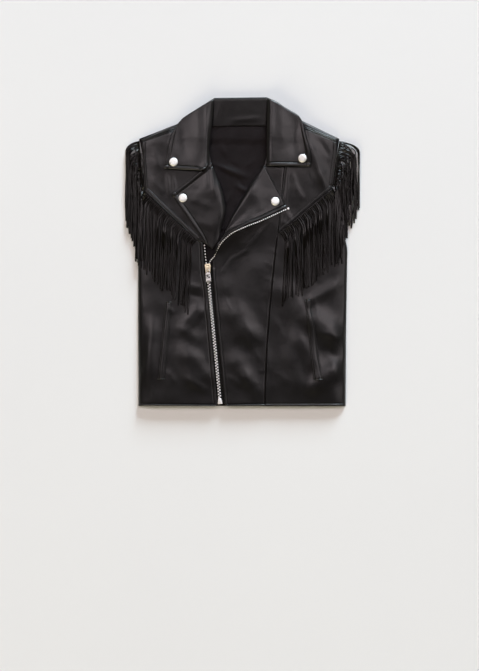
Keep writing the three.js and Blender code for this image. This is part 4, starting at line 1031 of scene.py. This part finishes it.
def ridgeless(values, rounds):
    # Evens out a row of heights.
    for _ in range(rounds):
        values = np.convolve(np.pad(values, 1, mode="edge"), [0.25, 0.5, 0.25], mode="valid")
    return values


strand = {"width": 3.3, "thick": 1.1, "middle": 0.6, "overFloor": 0.9, "bedReach": 1.4}


def bedUnder(seats, line):
    # The surface that a strand lies on, a strand's width at a time.
    reach = strand["bedReach"]
    bed = np.maximum(seatOn(seats, line[:, 0] - reach, line[:, 1]), seatOn(seats, line[:, 0] + reach, line[:, 1]))
    return np.maximum(bed, ridgeless(bed, 3))


def addFringe(name, runs, twists):
    mesh = grownMesh(pathsMesh(name, runs, {"twist": twists}), strandsAlong, {
        "Width": strand["width"] * mm, "Thickness": strand["thick"] * mm, "Material": fringeLeather})
    mesh.set_sharp_from_angle(angle=math.radians(40))
    addPiece(name, mesh)


# Standing strands keep up at the root, turned to the light, and then fall back over the others.
yokeFringe = {
    "count": 37, "length": 148, "straight": (5, 11), "bend": (23, 34), "waver": 1.1, "layers": 3, "layer": 2.2,
    "points": 28, "twist": 0.36, "rootLift": 1.6, "lift": 5.6, "face": 0.16}
yokeRoots = {  # from, to, out, lean, seats, seed, standing strands
    "fringe_yoke_left": (
        (-195.6, 118.8), (-91.6, 22), (-0.69, -0.72), -0.03, ["front_left"], 5, (14, 17, 18, 22, 27)),
    "fringe_yoke_right": (
        (72.6, 37), (178.6, 124.6), (0.645, -0.765), 0.01, ["front_right_side", "front_right_centre"], 8,
        (2, 7, 12, 13, 16, 17, 21, 24, 25, 29))}
for name, (start, end, out, hang, seats, seed, standing) in yokeRoots.items():
    random = np.random.default_rng(seed)
    spec = yokeFringe
    lean = ridgeless(random.normal(0, 1, spec["count"]), 3)
    runs, twists = [], []
    for i in range(spec["count"]):
        t = (i + 0.5 + random.uniform(-0.25, 0.25)) / spec["count"]
        root = between(start, end, t) + np.array(out) * 0.4
        length = spec["length"] * random.uniform(0.94, 1.03)
        far = length * np.linspace(0, 1, spec["points"]) ** 1.35
        straight, bend = random.uniform(*spec["straight"]), random.uniform(*spec["bend"])
        turn = eased(straight, bend, far)[:, None]
        down = np.array([hang + 0.04 * lean[i] + random.normal(0, 0.006), -1.0])
        heading = np.array(out) * (1 - turn) + down * turn
        heading /= np.linalg.norm(heading, axis=1, keepdims=True)
        steps = np.diff(far, prepend=0)[:, None]
        line = root + np.cumsum(heading * steps, axis=0)
        phase, wave = random.uniform(0, math.tau), random.uniform(60, 120)
        swing = spec["waver"] * random.uniform(0.3, 1)
        line[:, 0] += swing * np.sin(far / wave * math.tau + phase) * eased(bend, length, far)
        layer = (i * 3) % spec["layers"] * spec["layer"] + random.uniform(0, 0.8)
        bed = ridgeless(bedUnder(seats, line), 2)
        stands = i in standing
        rise = spec["rootLift"] + spec["lift"] * stands * eased(4, 36, far)
        fall = 1 - (eased(38, 66, far) if stands else eased(0, 0.6 * bend, far))
        z = np.maximum(bed, strand["overFloor"]) + strand["middle"] + layer * eased(8, 1.6 * bend, far) + rise * fall
        runs.append(np.column_stack([line, z]))
        turns = random.normal(0, 1.6)
        turns = turns + random.normal(0, 0.5) * np.sin(far / random.uniform(60, 110) * math.tau + phase)
        shown = stands * (1 - eased(30, 60, far))
        twists.append(spec["twist"] * turns * eased(4, bend + 12, far) * (1 - shown) + spec["face"] * shown)
    addFringe(name, runs, twists)

armFringe = {
    "count": 50, "layers": 5, "layer": 1.4, "points": 26, "turnDrop": (26, 18), "twist": 0.35, "rootLift": 0.8}
armRoots = {  # from, to, side, tips' x, tips' y, seats, seed
    "fringe_armhole_left": (
        (-206.4, 220), (-198, 128), -1, (-233.6, -205.6), (60, -30),
        ["yoke_left", "front_left", "back_panel"], 11),
    "fringe_armhole_right": (
        (192.6, 220), (181, 134), 1, (233.6, 189.4), (96, -22),
        ["yoke_right", "front_right_side", "back_panel"], 12)}
for name, (start, end, sign, tips, ends, seats, seed) in armRoots.items():
    random = np.random.default_rng(seed)
    spec = armFringe
    runs, twists = [], []
    for i in range(spec["count"]):
        t = (i + 0.5) / spec["count"]
        root = between(start, end, t)
        reach = abs(between(*tips, t) - root[0]) * (1 - 0.75 * random.uniform(0, 1) ** 2)
        tip = root[0] + sign * max(reach, 2.5)
        drop = between(*spec["turnDrop"], t) * random.uniform(0.35, 1.1)
        low = between(*ends, t) + random.uniform(-12, 12)
        turn = np.linspace(0, math.pi / 2, 11)
        arcX = root[0] + (tip - root[0]) * np.sin(turn)
        arcY = root[1] - drop * (1 - np.cos(turn))
        hangY = np.linspace(arcY[-1], low, spec["points"] - 10)[1:]
        share = (arcY[-1] - hangY) / (arcY[-1] - low)
        phase = random.uniform(0, math.tau)
        hangX = tip + random.normal(0, 1.6) * share + 1.2 * np.sin(share * random.uniform(3, 7) + phase) * share
        line = np.column_stack([np.concatenate([arcX, hangX]), np.concatenate([arcY, hangY])])
        layer = (i * 2) % spec["layers"] * spec["layer"] + random.uniform(0, 1)
        bed = ridgeless(bedUnder(seats, line), 3)
        far = np.concatenate([[0], np.cumsum(np.linalg.norm(np.diff(line, axis=0), axis=1))])
        lift = layer * eased(0, 20, far)
        arch = spec["rootLift"] * np.sin(math.pi * np.clip(far / 34, 0, 1))
        z = np.maximum(bed, strand["overFloor"]) + strand["middle"] + lift + arch
        rootTop = float(frontTop(root[0] - sign * 3, root[1])) - 0.3
        z = rootTop * (1 - eased(0, 9, far)) + z * eased(0, 9, far)
        runs.append(np.column_stack([line, ridgeless(z, 1)]))
        turns = random.normal(0, 1)
        turns = turns + random.normal(0, 1.6) * np.sin(far / random.uniform(40, 90) * math.tau + phase)
        twists.append(spec["twist"] * turns * eased(1, 14, far))
    addFringe(name, runs, twists)
print("fringe made")


stitch = {"long": 2.5, "wide": 0.6, "high": 0.5, "pitch": 3.4, "uneven": 0.12}
shape = bmesh.new()
bmesh.ops.create_icosphere(shape, subdivisions=1, radius=0.5)
bmesh.ops.scale(shape, vec=(stitch["long"], stitch["wide"], stitch["high"]), verts=shape.verts)
stitchItem = newObject("stitchItem", finishedMesh("stitchItem", shape, thread))
stitches = grownMesh(pathsMesh("stitches", stitchRuns), itemsAlong, {
    "Item": stitchItem, "Pitch": stitch["pitch"] * mm, "Uneven": stitch["uneven"], "Material": thread})
bpy.data.objects.remove(stitchItem)
addPiece("stitches", stitches, hasNode=False)
print("stitches made:", len(stitches.polygons), "faces")


def floorMaterial():
    # Matt painted board: near white, with a faint roller texture.
    material, tree, place = newMaterial("paintedBoard")
    cloud = addNode(tree, "ShaderNodeTexNoise", {"Vector": place, "Scale": 1.6, "Detail": 3.0})
    tone = addNode(tree, "ShaderNodeMixRGB", {
        0: cloud.outputs["Fac"], 1: toLinear("#ebebec"), 2: toLinear("#efefef")})
    fine = addNode(tree, "ShaderNodeTexNoise", {"Vector": place, "Scale": repeats(2), "Detail": 2.0})
    relief = addNode(tree, "ShaderNodeBump", {"Height": fine.outputs["Fac"], "Distance": 0.1 * mm, "Strength": 0.2})
    return finishMaterial(material, tree, {
        "Base Color": tone.outputs[0], "Roughness": 0.9, "Normal": relief.outputs[0]}, "#ededee")


floorHalf = 6
floorMesh = bpy.data.meshes.new("floor")
corners = [(x * floorHalf, y * floorHalf, 0) for x, y in ((-1, -1), (1, -1), (1, 1), (-1, 1))]
floorMesh.from_pydata(corners, [], [(0, 1, 2, 3)])
floorMesh.materials.append(floorMaterial())
newObject("floor", floorMesh)

lights = {  # place, aim, size, watts, colour
    "keySoftbox": ((6.6, 17.4, 5.9), (0, -0.1, 0), 6.4, 5500, "#e3f5ff"),
    "topSoftbox": ((2.2, 3.0, 7.0), (0, -0.1, 0), 3.0, 118, "#fff1f4"),
    "leftSoftbox": ((-3.0, 2.6, 7.0), (0, -0.1, 0), 3.4, 146, "#fff1f4"),
    "rightSoftbox": ((5.2, 0.6, 6.6), (0, -0.1, 0), 2.6, 56, "#fff4f4"),
    "frontPanel": ((-4.0, -12.0, 5.0), (0, -0.2, 0), 7.0, 1120, "#fbf0d0")}
for name, (place, aim, size, watts, colour) in lights.items():
    light = bpy.data.lights.new(name, "AREA")
    light.shape, light.size, light.energy, light.color = "SQUARE", size, watts, toLinear(colour)[:3]
    lamp = newObject(name, light)
    lamp.location = place
    lamp.rotation_mode = "QUATERNION"
    lamp.rotation_quaternion = (Vector(aim) - Vector(place)).to_track_quat("-Z", "Y")

studio = {"From Min": 0.0, "From Max": 0.55, "To Min": 0.49, "To Max": 0.02}  # bright walls, a dim ceiling
world = bpy.data.worlds.new("studio")
world.use_nodes = True
backdrop = world.node_tree.nodes["Background"]
backdrop.inputs["Color"].default_value = toLinear("#f3edd6")
direction = addNode(world.node_tree, "ShaderNodeTexCoord").outputs["Generated"]
upward = addNode(world.node_tree, "ShaderNodeSeparateXYZ", {"Vector": direction}).outputs["Z"]
glow = addNode(world.node_tree, "ShaderNodeMapRange", {"Value": upward, **studio}, interpolation_type="SMOOTHSTEP")
world.node_tree.links.new(glow.outputs[0], backdrop.inputs["Strength"])
bpy.context.scene.world = world

view = {"pixels": (479, 671), "mmPerPixel": 2.0, "originPixel": (242.8, 251.9), "distance": 3000, "sensor": 36}
camera = bpy.data.cameras.new("camera")
camera.sensor_width = view["sensor"]
camera.lens = view["sensor"] * view["distance"] / (view["pixels"][1] * view["mmPerPixel"])
cameraObject = newObject("camera", camera)
cameraObject.location = (
    (view["pixels"][0] / 2 - view["originPixel"][0]) * view["mmPerPixel"] * mm,
    (view["originPixel"][1] - view["pixels"][1] / 2) * view["mmPerPixel"] * mm, view["distance"] * mm)
bpy.context.scene.camera = cameraObject
bpy.context.scene.view_settings.view_transform = "Standard"  # a plain development, as in shop photos
print("floor, lights and camera made")
